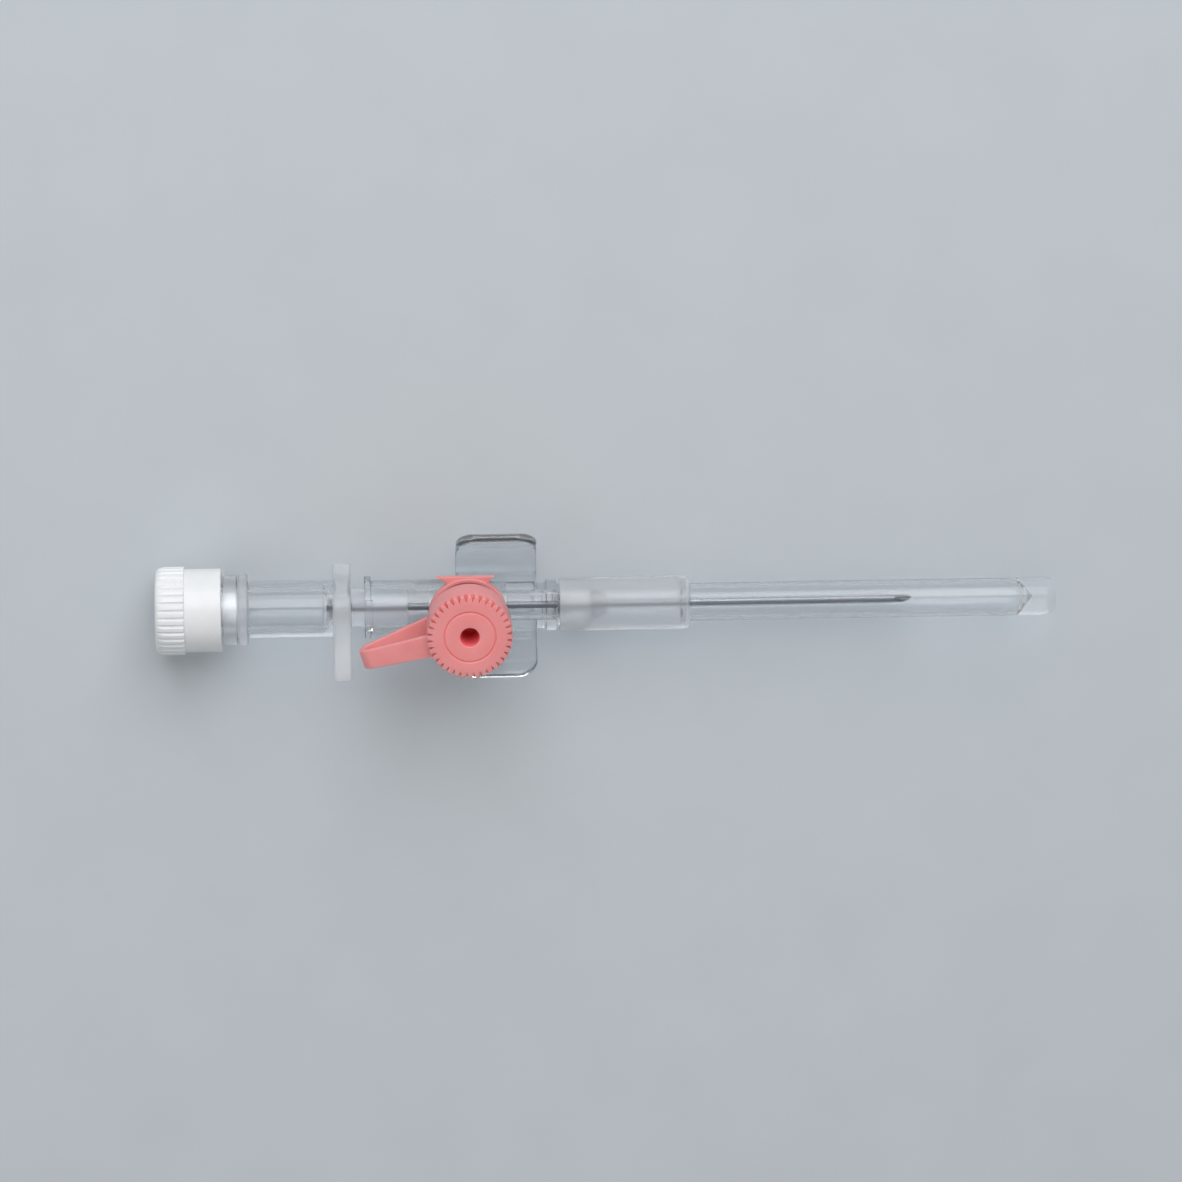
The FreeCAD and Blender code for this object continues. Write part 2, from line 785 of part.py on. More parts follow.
def ring_ear(side):
    """Straight-edged ear on one side of the ring, with a pointed horn at each end."""
    root_y = math.sqrt(tether_ring_radius ** 2 - tether_ear_root ** 2)
    corners = [
        FreeCAD.Vector(0, 0, port_seat_z),
        FreeCAD.Vector(-tether_ear_root, side * root_y, port_seat_z),
        FreeCAD.Vector(-tether_ear_rear_reach, side * tether_ear_reach, port_seat_z),
        FreeCAD.Vector(tether_ear_front_reach, side * tether_ear_reach, port_seat_z),
        FreeCAD.Vector(tether_ear_root, side * root_y, port_seat_z),
    ]
    return closed_face(corners).extrude(upward * tether_ring_thickness)


def needle_cover():
    """Cover that pushes over the hub's seat: stout base, slim tube and closed end."""
    base_end_x = cover_rear_x + cover_base_length
    end_x = cover_rear_x + cover_length
    seat_bore = cover_seat_radius + cover_seat_clearance
    inner = cover_tube_radius - cover_tube_wall
    body = turned([
        (cover_rear_x, 0),
        (cover_rear_x, cover_base_radius),
        *rounded_corner(base_end_x, cover_base_radius, cover_base_round, cover_base_steps),
        (base_end_x, cover_tube_radius),
        *rounded_corner(end_x, cover_tube_radius, cover_end_round, cover_end_steps),
        (end_x, 0),
    ])
    neck_x = base_end_x - cover_neck_length
    bore = turned([
        (cover_rear_x - overrun, 0),
        (cover_rear_x - overrun, seat_bore),
        (cover_rear_x + cover_seat_length, seat_bore),
        (cover_rear_x + cover_seat_length, seat_bore - cover_bore_step),
        (neck_x, seat_bore - cover_bore_step),
        (neck_x + cover_neck_length / 2, inner),
        (end_x - cover_end_thickness - inner, inner),
        (end_x - cover_end_thickness, 0),
    ])
    return body.cut(bore)


def rounded_corner(x, radius, size, steps):
    """(x, radius) points along a quarter circle that rounds the corner at x in equal steps."""
    turns = [math.pi / 2 * index / steps for index in range(steps + 1)]
    return [
        (x - size * (1 - math.sin(turn)), radius - size * (1 - math.cos(turn)))
        for turn in turns
    ]


def write(name, shape):
    """Write one piece, and say how large it is."""
    if shape.ShapeType == "Compound" and len(shape.Solids) == 1:
        shape = shape.Solids[0]
    shape.exportStep(os.path.join("parts", name + ".step"))
    print(name, "solids", len(shape.Solids), "valid", shape.isValid(), "volume", round(shape.Volume, 2))


pieces = {
    "luer_plug": luer_plug,
    "vent_filter": vent_filter,
    "needle_hub": needle_hub,
    "needle": needle,
    "catheter_hub": catheter_hub,
    "catheter_tube": catheter_tube,
    "catheter_eyelet": catheter_eyelet,
    "valve_sleeve": valve_sleeve,
    "port_cap": port_cap,
    "cap_tether": cap_tether,
    "needle_cover": needle_cover,
}

os.makedirs("parts", exist_ok=True)
for piece_name, make in pieces.items():
    write(piece_name, make())
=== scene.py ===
import math
import bpy
import numpy as np
from mathutils import Matrix, Vector


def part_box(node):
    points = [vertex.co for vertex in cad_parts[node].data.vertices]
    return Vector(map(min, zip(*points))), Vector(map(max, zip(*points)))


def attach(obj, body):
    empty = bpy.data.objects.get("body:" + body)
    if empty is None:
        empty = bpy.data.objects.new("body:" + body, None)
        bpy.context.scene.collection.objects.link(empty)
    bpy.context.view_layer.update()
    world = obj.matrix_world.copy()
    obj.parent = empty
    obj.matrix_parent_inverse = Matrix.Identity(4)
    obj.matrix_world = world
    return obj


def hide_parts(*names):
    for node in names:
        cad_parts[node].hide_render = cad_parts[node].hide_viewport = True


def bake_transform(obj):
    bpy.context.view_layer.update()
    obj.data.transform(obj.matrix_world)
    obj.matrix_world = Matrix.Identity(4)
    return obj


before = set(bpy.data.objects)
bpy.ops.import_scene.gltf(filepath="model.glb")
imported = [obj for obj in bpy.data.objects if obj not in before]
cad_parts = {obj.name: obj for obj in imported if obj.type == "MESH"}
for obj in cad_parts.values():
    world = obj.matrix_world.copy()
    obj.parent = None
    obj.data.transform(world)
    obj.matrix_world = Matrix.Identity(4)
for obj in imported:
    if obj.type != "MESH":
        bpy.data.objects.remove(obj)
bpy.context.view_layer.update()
tau = 2 * math.pi
mm = 0.001  # everything is worked out in millimetres and put into the frame in metres at the end
overshoot = 1.0  # how far a cutter runs past what it cuts
overlap = 0.05  # how far faces that are sorted by place may lie beyond their piece's ends
hairline = 1e-6  # what is shorter counts as nothing


def inScene(name, data):
    thing = bpy.data.objects.new(name, data)
    bpy.context.scene.collection.objects.link(thing)
    return thing


# places in the frame
def nodeBox(name):
    low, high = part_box(name)
    return np.array(low) / mm, np.array(high) / mm


plugLow, plugHigh = nodeBox("luer_plug")
needleHubLow, needleHubHigh = nodeBox("needle_hub")
needleLow, needleHigh = nodeBox("needle")
hubLow, hubHigh = nodeBox("catheter_hub")
tubeLow, tubeHigh = nodeBox("catheter_tube")
eyeletLow, eyeletHigh = nodeBox("catheter_eyelet")
valveLow, valveHigh = nodeBox("valve_sleeve")
capHigh = nodeBox("port_cap")[1]
coverLow, coverHigh = nodeBox("needle_cover")
axisHeight = (plugLow[2] + plugHigh[2]) / 2  # the cannula's axis lies this far above the resting plane
needleRadius = needleHigh[2] - axisHeight
funnelRadius = eyeletHigh[2] - axisHeight
valveRadius = valveHigh[2] - axisHeight


# camera: looks down on the port from its left side, turned a little in the picture
photo = {
    "filmWidth": 36.0,
    "widthPixels": 1182.0,
    "pixelsPerMm": 9.0,
    "lean": math.radians(16.0),  # from the port's axis towards the left wing
    "roll": math.radians(1.0),
    "turn": math.radians(2.4),  # towards the plug
    "aimX": 13.75,
    "aimShift": 1.4,  # upwards in the picture from the cannula's axis
    "distance": 0.62,
}


def placeCamera(values):
    # from straight above the aim it leans about X, turns about its own Y and rolls about its own Z
    facing = Matrix.Identity(4)
    for name, axis in (("lean", "X"), ("turn", "Y"), ("roll", "Z")):
        facing = facing @ Matrix.Rotation(-values[name], 4, axis)
    aim = Vector((values["aimX"], 0, axisHeight)) * mm
    offset = Vector((0, values["aimShift"] * mm, values["distance"]))
    pictured = values["widthPixels"] / values["pixelsPerMm"] * mm
    data = bpy.data.cameras.new("camera")
    data.sensor_width = values["filmWidth"]
    data.lens = values["filmWidth"] * values["distance"] / pictured
    data.clip_start = 0.01
    camera = inScene("camera", data)
    camera.matrix_world = Matrix.Translation(aim) @ facing @ Matrix.Translation(offset)
    bpy.context.scene.camera = camera


placeCamera(photo)
print("camera placed")


# node helpers for the finishes
def blankFinish(name):
    finish = bpy.data.materials.new(name)
    finish.use_nodes = True
    tree = finish.node_tree
    return finish, tree, tree.nodes["Principled BSDF"]


def setInputs(tree, node, inputs):
    # another node's output is linked, and anything else is set as the input's own value, a colour as opaque
    for name, source in inputs.items():
        socket = node.inputs[name]
        if isinstance(source, bpy.types.NodeSocket):
            tree.links.new(source, socket)
        else:
            socket.default_value = (*source, 1) if socket.type == "RGBA" else source
    return node


def addNode(tree, kind, inputs, **settings):
    node = tree.nodes.new("ShaderNode" + kind)
    for name, value in settings.items():
        setattr(node, name, value)
    return setInputs(tree, node, inputs)


def noise(tree, scale, detail, stretch=(1, 1, 1)):
    place = addNode(tree, "TexCoord", {})
    mapping = addNode(tree, "Mapping", {"Vector": place.outputs["Object"], "Scale": stretch})
    inputs = {"Vector": mapping.outputs["Vector"], "Scale": scale, "Detail": detail}
    return addNode(tree, "TexNoise", inputs).outputs["Fac"]


def ramp(tree, source, low, high, start=0.3, end=0.7):
    inputs = {"Value": source, "From Min": start, "From Max": end, "To Min": low, "To Max": high}
    return addNode(tree, "MapRange", inputs).outputs["Result"]


def colourMix(tree, share, first, second):
    inputs = {"Factor": share, "A": first, "B": second}
    return addNode(tree, "Mix", inputs, data_type="RGBA").outputs["Result"]


def product(tree, first, second):
    return addNode(tree, "Math", {0: first, 1: second}, operation="MULTIPLY").outputs["Value"]


def bump(tree, source, strength, distance):
    inputs = {"Height": source, "Strength": strength, "Distance": distance}
    return addNode(tree, "Bump", inputs).outputs["Normal"]


def lampsPass(tree, surface, tint):
    # lamps shine through the surface with this tint, so that clear plastic throws only a faint shadow
    path = addNode(tree, "LightPath", {})
    clear = addNode(tree, "BsdfTransparent", {"Color": tint})
    inputs = {"Fac": path.outputs["Is Shadow Ray"], 1: surface, 2: clear.outputs["BSDF"]}
    mix = addNode(tree, "MixShader", inputs)
    setInputs(tree, tree.nodes["Material Output"], {"Surface": mix.outputs["Shader"]})


# finishes
grainStrength = 0.6
flowStrength = 0.5
opaqueFinishes = {
    "plugWhite": {
        "light": (0.89, 0.90, 0.905), "dark": (0.84, 0.85, 0.86), "cloud": 260, "roughness": (0.24, 0.36),
        "grain": 5200, "grainDepth": 0.000004, "bleed": 0.1, "reach": 0.0008, "spread": (1.0, 0.8, 0.7),
    },
    "portPink": {
        "light": (0.93, 0.345, 0.345), "dark": (0.885, 0.30, 0.30), "cloud": 330, "roughness": (0.36, 0.50),
        "grain": 6500, "grainDepth": 0.000006, "bleed": 0.55, "reach": 0.0016, "spread": (1.0, 0.26, 0.22),
    },
    "filterWhite": {
        "light": (0.86, 0.86, 0.84), "dark": (0.74, 0.74, 0.72), "cloud": 5200, "roughness": (0.75, 0.9),
        "grain": 9000, "grainDepth": 0.00003, "bleed": 0.0, "reach": 0.0005, "spread": (1.0, 1.0, 1.0),
    },
}


def mouldedFinish(name, values):
    # large soft clouds vary the colour and the gloss, and a fine grain stands for the mould's sparked surface
    finish, tree, surface = blankFinish(name)
    cloud = noise(tree, values["cloud"], 3)
    grain = noise(tree, values["grain"], 2)
    setInputs(tree, surface, {
        "Base Color": colourMix(tree, ramp(tree, cloud, 0, 1), values["light"], values["dark"]),
        "Roughness": ramp(tree, cloud, *values["roughness"]),
        "Normal": bump(tree, grain, grainStrength, values["grainDepth"]),
        "Subsurface Weight": values["bleed"],
        "Subsurface Radius": values["spread"],
        "Subsurface Scale": values["reach"],
    })
    return finish


clearFinishes = {
    "clearMoulding": {
        "tint": (0.86, 0.872, 0.888), "roughness": (0.05, 0.11), "index": 1.45, "milk": 0.03,
        "flow": (0.25, 1, 1), "flowScale": 420, "flowDepth": 0.000012, "shadow": (0.80, 0.82, 0.84),
    },
    "frostedMoulding": {
        "tint": (0.87, 0.88, 0.895), "roughness": (0.42, 0.5), "index": 1.4, "milk": 0.22,
        "flow": (1, 1, 1), "flowScale": 900, "flowDepth": 0.00001, "shadow": (0.78, 0.80, 0.82),
    },
    "coverMoulding": {
        "tint": (0.89, 0.905, 0.92), "roughness": (0.07, 0.14), "index": 1.42, "milk": 0.03,
        "flow": (0.12, 1, 1), "flowScale": 520, "flowDepth": 0.000014, "shadow": (0.84, 0.86, 0.88),
    },
    "hazyMoulding": {
        "tint": (0.88, 0.893, 0.91), "roughness": (0.30, 0.38), "index": 1.42, "milk": 0.15,
        "flow": (0.12, 1, 1), "flowScale": 520, "flowDepth": 0.000014, "shadow": (0.80, 0.82, 0.84),
    },
    "waxyTube": {
        "tint": (0.90, 0.91, 0.92), "roughness": (0.10, 0.18), "index": 1.33, "milk": 0.03,
        "flow": (0.1, 1, 1), "flowScale": 900, "flowDepth": 0.000006, "shadow": (0.84, 0.86, 0.88),
    },
    "softSilicone": {
        "tint": (0.86, 0.87, 0.88), "roughness": (0.28, 0.4), "index": 1.41, "milk": 0.18,
        "flow": (1, 1, 1), "flowScale": 700, "flowDepth": 0.000008, "shadow": (0.8, 0.82, 0.84),
    },
}


def clearFinish(name, values):
    # clear plastic with a little milk in it; noise drawn out along the cannula ripples it as the melt flowed
    finish, tree, surface = blankFinish(name)
    flow = noise(tree, values["flowScale"], 3, values["flow"])
    setInputs(tree, surface, {
        "Base Color": values["tint"],
        "IOR": values["index"],
        "Transmission Weight": 1 - values["milk"],
        "Roughness": ramp(tree, flow, *values["roughness"]),
        "Normal": bump(tree, flow, flowStrength, values["flowDepth"]),
    })
    lampsPass(tree, surface.outputs["BSDF"], values["shadow"])
    return finish


metalFinishes = {
    "needleSteel": {
        "light": (0.20, 0.225, 0.26), "dark": (0.09, 0.103, 0.125), "roughness": (0.26, 0.40),
        "lines": 2600, "along": (0.03, 1, 1), "depth": 0.000004,
    },
    "eyeletSteel": {
        "light": (0.62, 0.63, 0.65), "dark": (0.45, 0.46, 0.48), "roughness": (0.2, 0.34),
        "lines": 2600, "along": (1, 0.3, 0.3), "depth": 0.000004,
    },
}


def drawnSteel(name, values):
    # fine lines run the way the metal was drawn
    finish, tree, surface = blankFinish(name)
    lines = noise(tree, values["lines"], 4, values["along"])
    setInputs(tree, surface, {
        "Metallic": 1.0,
        "Base Color": colourMix(tree, ramp(tree, lines, 0, 1), values["light"], values["dark"]),
        "Roughness": ramp(tree, lines, *values["roughness"]),
        "Normal": bump(tree, lines, flowStrength, values["depth"]),
    })
    return finish


def paintHoleShade(finish, holeShade, radius, low, high, fade):
    # painted shade: a darker, deeper red in the hole stands in for its shade and for light that crosses the
    # plastic again and again; the painted colour's share is 1 where sqrt(x^2 + y^2) is under the radius and z
    # between the heights, and it fades out
    tree = finish.node_tree
    surface = tree.nodes["Principled BSDF"]
    plain = surface.inputs["Base Color"].links[0].from_socket
    place = addNode(tree, "TexCoord", {})
    split = addNode(tree, "SeparateXYZ", {"Vector": place.outputs["Object"]})
    flat = addNode(tree, "CombineXYZ", {"X": split.outputs["X"], "Y": split.outputs["Y"]})
    length = addNode(tree, "VectorMath", {0: flat.outputs["Vector"]}, operation="LENGTH")
    near = ramp(tree, length.outputs["Value"], 1, 0, radius, radius + fade)
    above = ramp(tree, split.outputs["Z"], 0, 1, low - fade, low)
    below = ramp(tree, split.outputs["Z"], 1, 0, high - fade, high)
    share = product(tree, product(tree, near, above), below)
    setInputs(tree, surface, {"Base Color": colourMix(tree, share, plain, holeShade)})


families = ((mouldedFinish, opaqueFinishes), (clearFinish, clearFinishes), (drawnSteel, metalFinishes))
finishes = {name: make(name, values) for make, family in families for name, values in family.items()}
print("finishes made:", len(finishes))


# surface helpers: points in millimetres, one grid row for each place along a profile
def stacked(*parts):
    # points from the arrays of their coordinates
    return np.stack(np.broadcast_arrays(*parts), axis=-1)


def bent(t, start, corner, end):
    # (1-t)^2 start + 2t(1-t) corner + t^2 end
    return (1 - t) ** 2 * start + 2 * t * (1 - t) * corner + t ** 2 * end


def softProfile(corners, reach, steps=4):
    # each corner becomes a bent curve between its two sides, at the reach from it, or at the largest share of
    # the side where that is shorter; a reach of 0 keeps the corner
    largestShare = 0.45
    corners = np.asarray(corners, float)
    reach = np.broadcast_to(np.asarray(reach, float), (len(corners),))[:, None]
    ends = []
    for step in (1, -1):
        way = np.roll(corners, step, axis=0) - corners
        length = np.linalg.norm(way, axis=1, keepdims=True)
        ends.append(corners + way / length * np.minimum(reach, largestShare * length))
    t = np.linspace(0, 1, steps + 1)[None, :, None]
    points = bent(t, ends[0][:, None], corners[:, None], ends[1][:, None]).reshape(-1, 2)
    fresh = np.ones(len(points), bool)
    fresh[1:] = np.linalg.norm(np.diff(points, axis=0), axis=1) > hairline
    return points[fresh]


def gridFaces(rows, columns, closed):
    # quad (i, j) joins grid points (i, j), (i+1, j), (i+1, j+1) and (i, j+1); each row closes on itself
    i = np.arange(rows if closed else rows - 1)[:, None]
    j = np.arange(columns)[None]
    nextI = (i + 1) % rows
    nextJ = (j + 1) % columns
    quads = stacked(i * columns + j, nextI * columns + j, nextI * columns + nextJ, i * columns + nextJ)
    return quads.reshape(-1, 4)


def gridObject(name, grid, poles=()):
    # without poles the last row joins the first; otherwise a fan of triangles (k, k+1, pole) closes each end.
    # The signed volume is the sum of p0 . (p1 x p2) / 6, and if it's negative, the faces are turned round
    rows, columns = grid.shape[:2]
    points = grid.reshape(-1, 3)
    quads = gridFaces(rows, columns, not len(poles))
    triangles = np.zeros((0, 3), int)
    for pole, first, way in zip(poles, (0, (rows - 1) * columns), (1, -1)):
        points = np.vstack([points, pole])
        ring = first + np.arange(columns)
        fan = stacked(ring, np.roll(ring, -1), len(points) - 1)[:, ::way]
        triangles = np.concatenate([triangles, fan])
    halves = np.concatenate([quads[:, [0, 1, 2]], quads[:, [0, 2, 3]], triangles])
    a, b, c = points[halves[:, 0]], points[halves[:, 1]], points[halves[:, 2]]
    if np.einsum("ij,ij->", a, np.cross(b, c)) < 0:
        quads = quads[:, ::-1]
        triangles = triangles[:, ::-1]
    mesh = bpy.data.meshes.new(name)
    mesh.from_pydata(points.tolist(), [], quads.tolist() + triangles.tolist())
    mesh.update()
    return inScene(name, mesh)


def barObject(name, grid):
    # each end is closed by a pole in the middle of its ring
    return gridObject(name, grid, (grid[0].mean(axis=0), grid[-1].mean(axis=0)))


def aboutX(places, radii, angles):
    # (x, r cos a, r sin a + height of the cannula's axis)
    return stacked(places, radii * np.cos(angles), radii * np.sin(angles) + axisHeight)


def aboutZ(heights, radii, angles):
    # (r cos a, r sin a, z) about the port's axis
    return stacked(radii * np.cos(angles), radii * np.sin(angles), heights)


def sampledSteps(count, *samples):
    # angles (n + p) / count * tau with the same samples p in each of the equal steps n
    phases = np.unique(np.round(np.concatenate(samples), 6))
    return ((np.arange(count)[:, None] + phases) / count * tau).ravel()


def moreRows(profile, index, places, radius):
    # further rows of one radius in a straight stretch
    rows = np.column_stack([places, np.full(len(places), radius)])
    return np.insert(profile, index + 1, rows, axis=0)


def turnedObject(name, profile, segments, upright=False, change=None):
    # revolves (place, radius) rows through that many equal steps or through the angles given; a profile that
    # starts on the axis ends there too, and any other joins up with its start;
    # change(place, radius, angle) makes the radius depend on the angle too
    a = (np.arange(segments) / segments * tau if np.isscalar(segments) else segments)[None]
    around = aboutZ if upright else aboutX
    poles = ()
    if profile[0, 1] < hairline:
        poles = [around(profile[k, 0], 0.0, 0.0) for k in (0, -1)]
        profile = profile[1:-1]
    places, radii = profile[:, :1], profile[:, 1:]
    if change is not None:
        radii = change(places, radii, a)
    return gridObject(name, around(places, radii, a), poles)


def finishedMesh(piece):
    # the mesh as its modifiers leave it
    bpy.context.view_layer.update()
    graph = bpy.context.evaluated_depsgraph_get()
    return bpy.data.meshes.new_from_object(piece.evaluated_get(graph))


def combined(name, base, others, action):
    # joins or cuts closed meshes; the helpers are removed afterwards
    for other in others:
        step = base.modifiers.new("step", "BOOLEAN")
        step.operation = action
        step.solver = "MANIFOLD"
        step.object = other
    mesh = finishedMesh(base)
    for used in [base, *others]:
        bpy.data.objects.remove(used)
    return inScene(name, mesh)


def hollowed(name, solids, hollows):
    # the solids joined, less the hollows
    whole = combined("whole", solids[0], solids[1:], "UNION")
    return combined(name, whole, hollows, "DIFFERENCE")


def bevelled(piece, width, segments=3):
    # rounds every edge that is sharper than 35 degrees
    bevel = piece.modifiers.new("edges", "BEVEL")
    bevel.width = width
    bevel.segments = segments
    bevel.limit_method = "ANGLE"
    bevel.angle_limit = math.radians(35)
    mesh = finishedMesh(piece)
    piece.modifiers.clear()
    piece.data = mesh
    return piece


def prism(name, outline, low, high, place=stacked):
    # straight walls between an outline and its copy; place turns (u, v, w) arrays into points
    return barObject(name, place(outline[:, 0], outline[:, 1], np.array([[low], [high]])))


def dressed(piece, finish, body, node):
    # millimetres become metres, faces that meet at over 32 degrees are shaded apart, and the piece takes its
    # place in the frame
    piece.data.transform(Matrix.Scale(mm, 4))
    piece.data.shade_smooth()
    piece.data.set_sharp_from_angle(angle=math.radians(32))
    even = piece.modifiers.new("evenShading", "WEIGHTED_NORMAL")
    even.keep_sharp = True
    piece.data.materials.clear()
    piece.data.materials.append(finishes[finish])
    if body:
        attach(piece, body)
    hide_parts(node)
    return piece


def patchFinish(piece, finish, start, end, inside):
    # a second finish on the faces whose centres lie from start to end along the cannula and further from its
    # axis than the inside radius, where r^2 = y^2 + z^2
    piece.data.materials.append(finishes[finish])
    faces = piece.data.polygons
    centres = np.empty(len(faces) * 3)
    faces.foreach_get("center", centres)
    x, y, z = (centres.reshape(-1, 3) / mm).T
    chosen = (x > start) & (x < end) & (np.hypot(y, z - axisHeight) > inside)
    indices = np.empty(len(faces), np.int32)
    faces.foreach_get("material_index", indices)
    indices[chosen] = len(piece.data.materials) - 1
    faces.foreach_set("material_index", indices)


# luer fittings
luer = {
    "taper": 0.03,  # radius lost for each unit of depth
    "mouthRadius": 2.15,
    "clearance": 0.03,
    "lugRadius": 3.9,
    "lugWidth": 0.9,
    "lugAngle": math.radians(56),
    "lugLead": 0.25,
    "lugRound": 0.12,
    "lugStep": 0.02,  # from the mouth's plane
    "lugSink": 0.2,  # how deep the lugs start in the wall
}


def socketRadius(depth):
    # mouth's radius - taper * depth
    return luer["mouthRadius"] - luer["taper"] * depth


def socketProfile(mouth, depth):
    # from outside the mouth to the socket's floor
    outside = mouth - overshoot
    return [
        (outside, 0), (outside, socketRadius(0)), (mouth, socketRadius(0)),
        (mouth + depth, socketRadius(depth)),
    ]


def lugPair(mouth, wallRadius):
    # each lug is its cross-section with soft corners, carried round an arc
    v = luer
    root = wallRadius - v["lugSink"]
    start, end = mouth + v["lugStep"], mouth + v["lugWidth"]
    section = softProfile([
        (start, root), (start, v["lugRadius"] - v["lugLead"]), (mouth + v["lugLead"], v["lugRadius"]),
        (end, v["lugRadius"]), (end, root),
    ], v["lugRound"])
    lugs = []
    for middle in (tau / 4, 3 * tau / 4):
        angles = middle + np.linspace(-0.5, 0.5, 25) * v["lugAngle"]
        grid = aboutX(section[None, :, 0], section[None, :, 1], angles[:, None])
        lugs.append(barObject("lug", grid))
    return lugs


# white closing plug
plug = {
    "gripLength": 3.2,
    "skirtRadius": 4.62,
    "skirtLength": 4.1,
    "endThickness": 1.5,
    "threadWallRadius": 4.05,
    "dishRadius": 3.2,
    "dishDepth": 0.45,
    "boreRadius": 1.25,
    "ventRadius": 0.45,
    "coneLength": 7.4,
    "mouthGap": 0.35,
    "ribs": 36,
    "grooveShare": 0.58,  # of a rib's pitch
    "threadLead": 5.0,
    "threadStarts": 2,
    "threadDepth": 0.36,
    "threadWidth": 0.75,
    "threadStart": -30.75,  # x of one ridge at the angle 0
    "threadRows": 60,
    "threadRunOut": (0.35, 0.5),  # gap to the skirt's edge, and the length over which the ridges rise
    "threadRunIn": (0.25, 0.4),  # the same at the skirt's floor
    "crestDip": 0.03,  # the ribs' shoulders stay this much higher than a plain wedge would leave them
    "grooveStep": 0.05,  # how far the grooves' floor stays above the skirt
    "rounding": [0.08, 0.3, 0.2, 1.35, 0.14, 0.12, 0.16, 0.14, 0.2, 0.25, 0.15, 0.1, 0.1, 0.06],
}


def makePlug():
    # one closed profile, cone and skirt, turned about the axis; ribs and thread change its radius
    v = plug
    rear, radius = plugLow[0], (plugHigh[2] - plugLow[2]) / 2
    gripEnd = rear + v["gripLength"]
    front = gripEnd + v["skirtLength"]
    floor = rear + v["endThickness"]
    mouth = floor + v["mouthGap"]
    tip = floor + v["coneLength"]
    root = socketRadius(floor - mouth) - luer["clearance"]
    end = socketRadius(tip - mouth) - luer["clearance"]
    corners = [
        (rear + v["dishDepth"], v["ventRadius"]), (rear + v["dishDepth"], v["dishRadius"] - v["dishDepth"]),
        (rear, v["dishRadius"]), (rear, radius), (gripEnd, radius), (gripEnd, v["skirtRadius"]),
        (front, v["skirtRadius"]), (front, v["threadWallRadius"]), (floor, v["threadWallRadius"]),
        (floor, root), (tip, end), (tip, v["boreRadius"]), (floor, v["boreRadius"]), (floor, v["ventRadius"]),
    ]
    outline = softProfile(corners, v["rounding"], 5)
    # extra rows where the thread runs
    wall = np.flatnonzero(np.isclose(outline[:, 1], v["threadWallRadius"]))
    places = np.linspace(outline[wall[0], 0], outline[wall[-1], 0], v["threadRows"])[1:-1]
    outline = moreRows(outline, wall[0], places, v["threadWallRadius"])
    # samples of one rib, from the middle of its crest to the middle of the wedge-shaped groove
    half = v["grooveShare"] / 2
    steps = np.array([0.0, 0.1, 0.5 - half, 0.54 - half, 0.4, 0.46, 0.5])
    angles = sampledSteps(v["ribs"], steps, 1 - steps[1:])
    depth = radius - v["skirtRadius"]

    def ribbed(x, r, a):
        # the radius is the lower of the profile's and the ribs', and ridges of 1 - d^2 wind round inside
        phase = np.mod(a / tau * v["ribs"], 1)
        fromGroove = np.abs(phase - 0.5) / half
        groove = depth * np.clip(1 - fromGroove, 0, 1)
        sink = np.clip(groove - v["crestDip"], 0, depth - v["grooveStep"])
        onGrip = (x < gripEnd + overlap) & (r > v["threadWallRadius"]) & (x > rear - overlap)
        ribs = np.where(onGrip, np.minimum(r, radius - sink), r)
        onWall = np.isclose(r, v["threadWallRadius"]) & (x > floor)
        turn = v["threadLead"] / v["threadStarts"]
        offset = np.mod(x - v["threadStart"] - v["threadLead"] * a / tau + turn / 2, turn) - turn / 2
        (outGap, outLength), (inGap, inLength) = v["threadRunOut"], v["threadRunIn"]
        fade = np.clip((front - outGap - x) / outLength, 0, 1) * np.clip((x - floor - inGap) / inLength, 0, 1)
        ridge = v["threadDepth"] * np.clip(1 - (offset / (v["threadWidth"] / 2)) ** 2, 0, 1) * fade
        return np.where(onWall, ribs - ridge, ribs)

    piece = turnedObject("closingPlug", outline, angles, change=ribbed)
    return dressed(piece, "plugWhite", "plug", "luer_plug")


makePlug()
print("plug made")


# needle hub: flash chamber, grip plate and nose
chamber = {
    "rearRadius": 2.95,
    "radius": 3.15,
    "socketDepth": 7.9,
    "boreRadius": 1.9,
    "stopGap": 0.2,
    "collarRadius": 3.85,
    "collarWidth": 1.5,
    "grooveWidth": 0.25,
    "flangeRadius": 4.0,
    "flangeWidth": 0.95,
    "noseGap": 1.5,
    "noseLength": 4.8,
    "seatWall": 1.3,
    "rounding": [0, 0.15, 0.12, 0.16, 0.1, 0.08, 0.08, 0.1, 0.2, 0.15, 0.25, 0.3, 0.1, 0.2, 0],
    "insideRounding": [0, 0, 0, 0.02, 0.02, 0.5, 0.15, 0, 0],
    "segments": 128,
}
plate = {
    "thickness": 1.95,
    "halfWidth": 4.9,
    "topRise": 13.4,
    "floorGap": 0.5,
    "cornerRound": 1.6,
    "waistDepth": 0.28,
    "waistHeight": 8.9,
    "edgeRound": 0.28,
    "insets": [4.0, 3.2, 2.4, 1.6, 1.0],  # of the rings on each face, from the edge
}


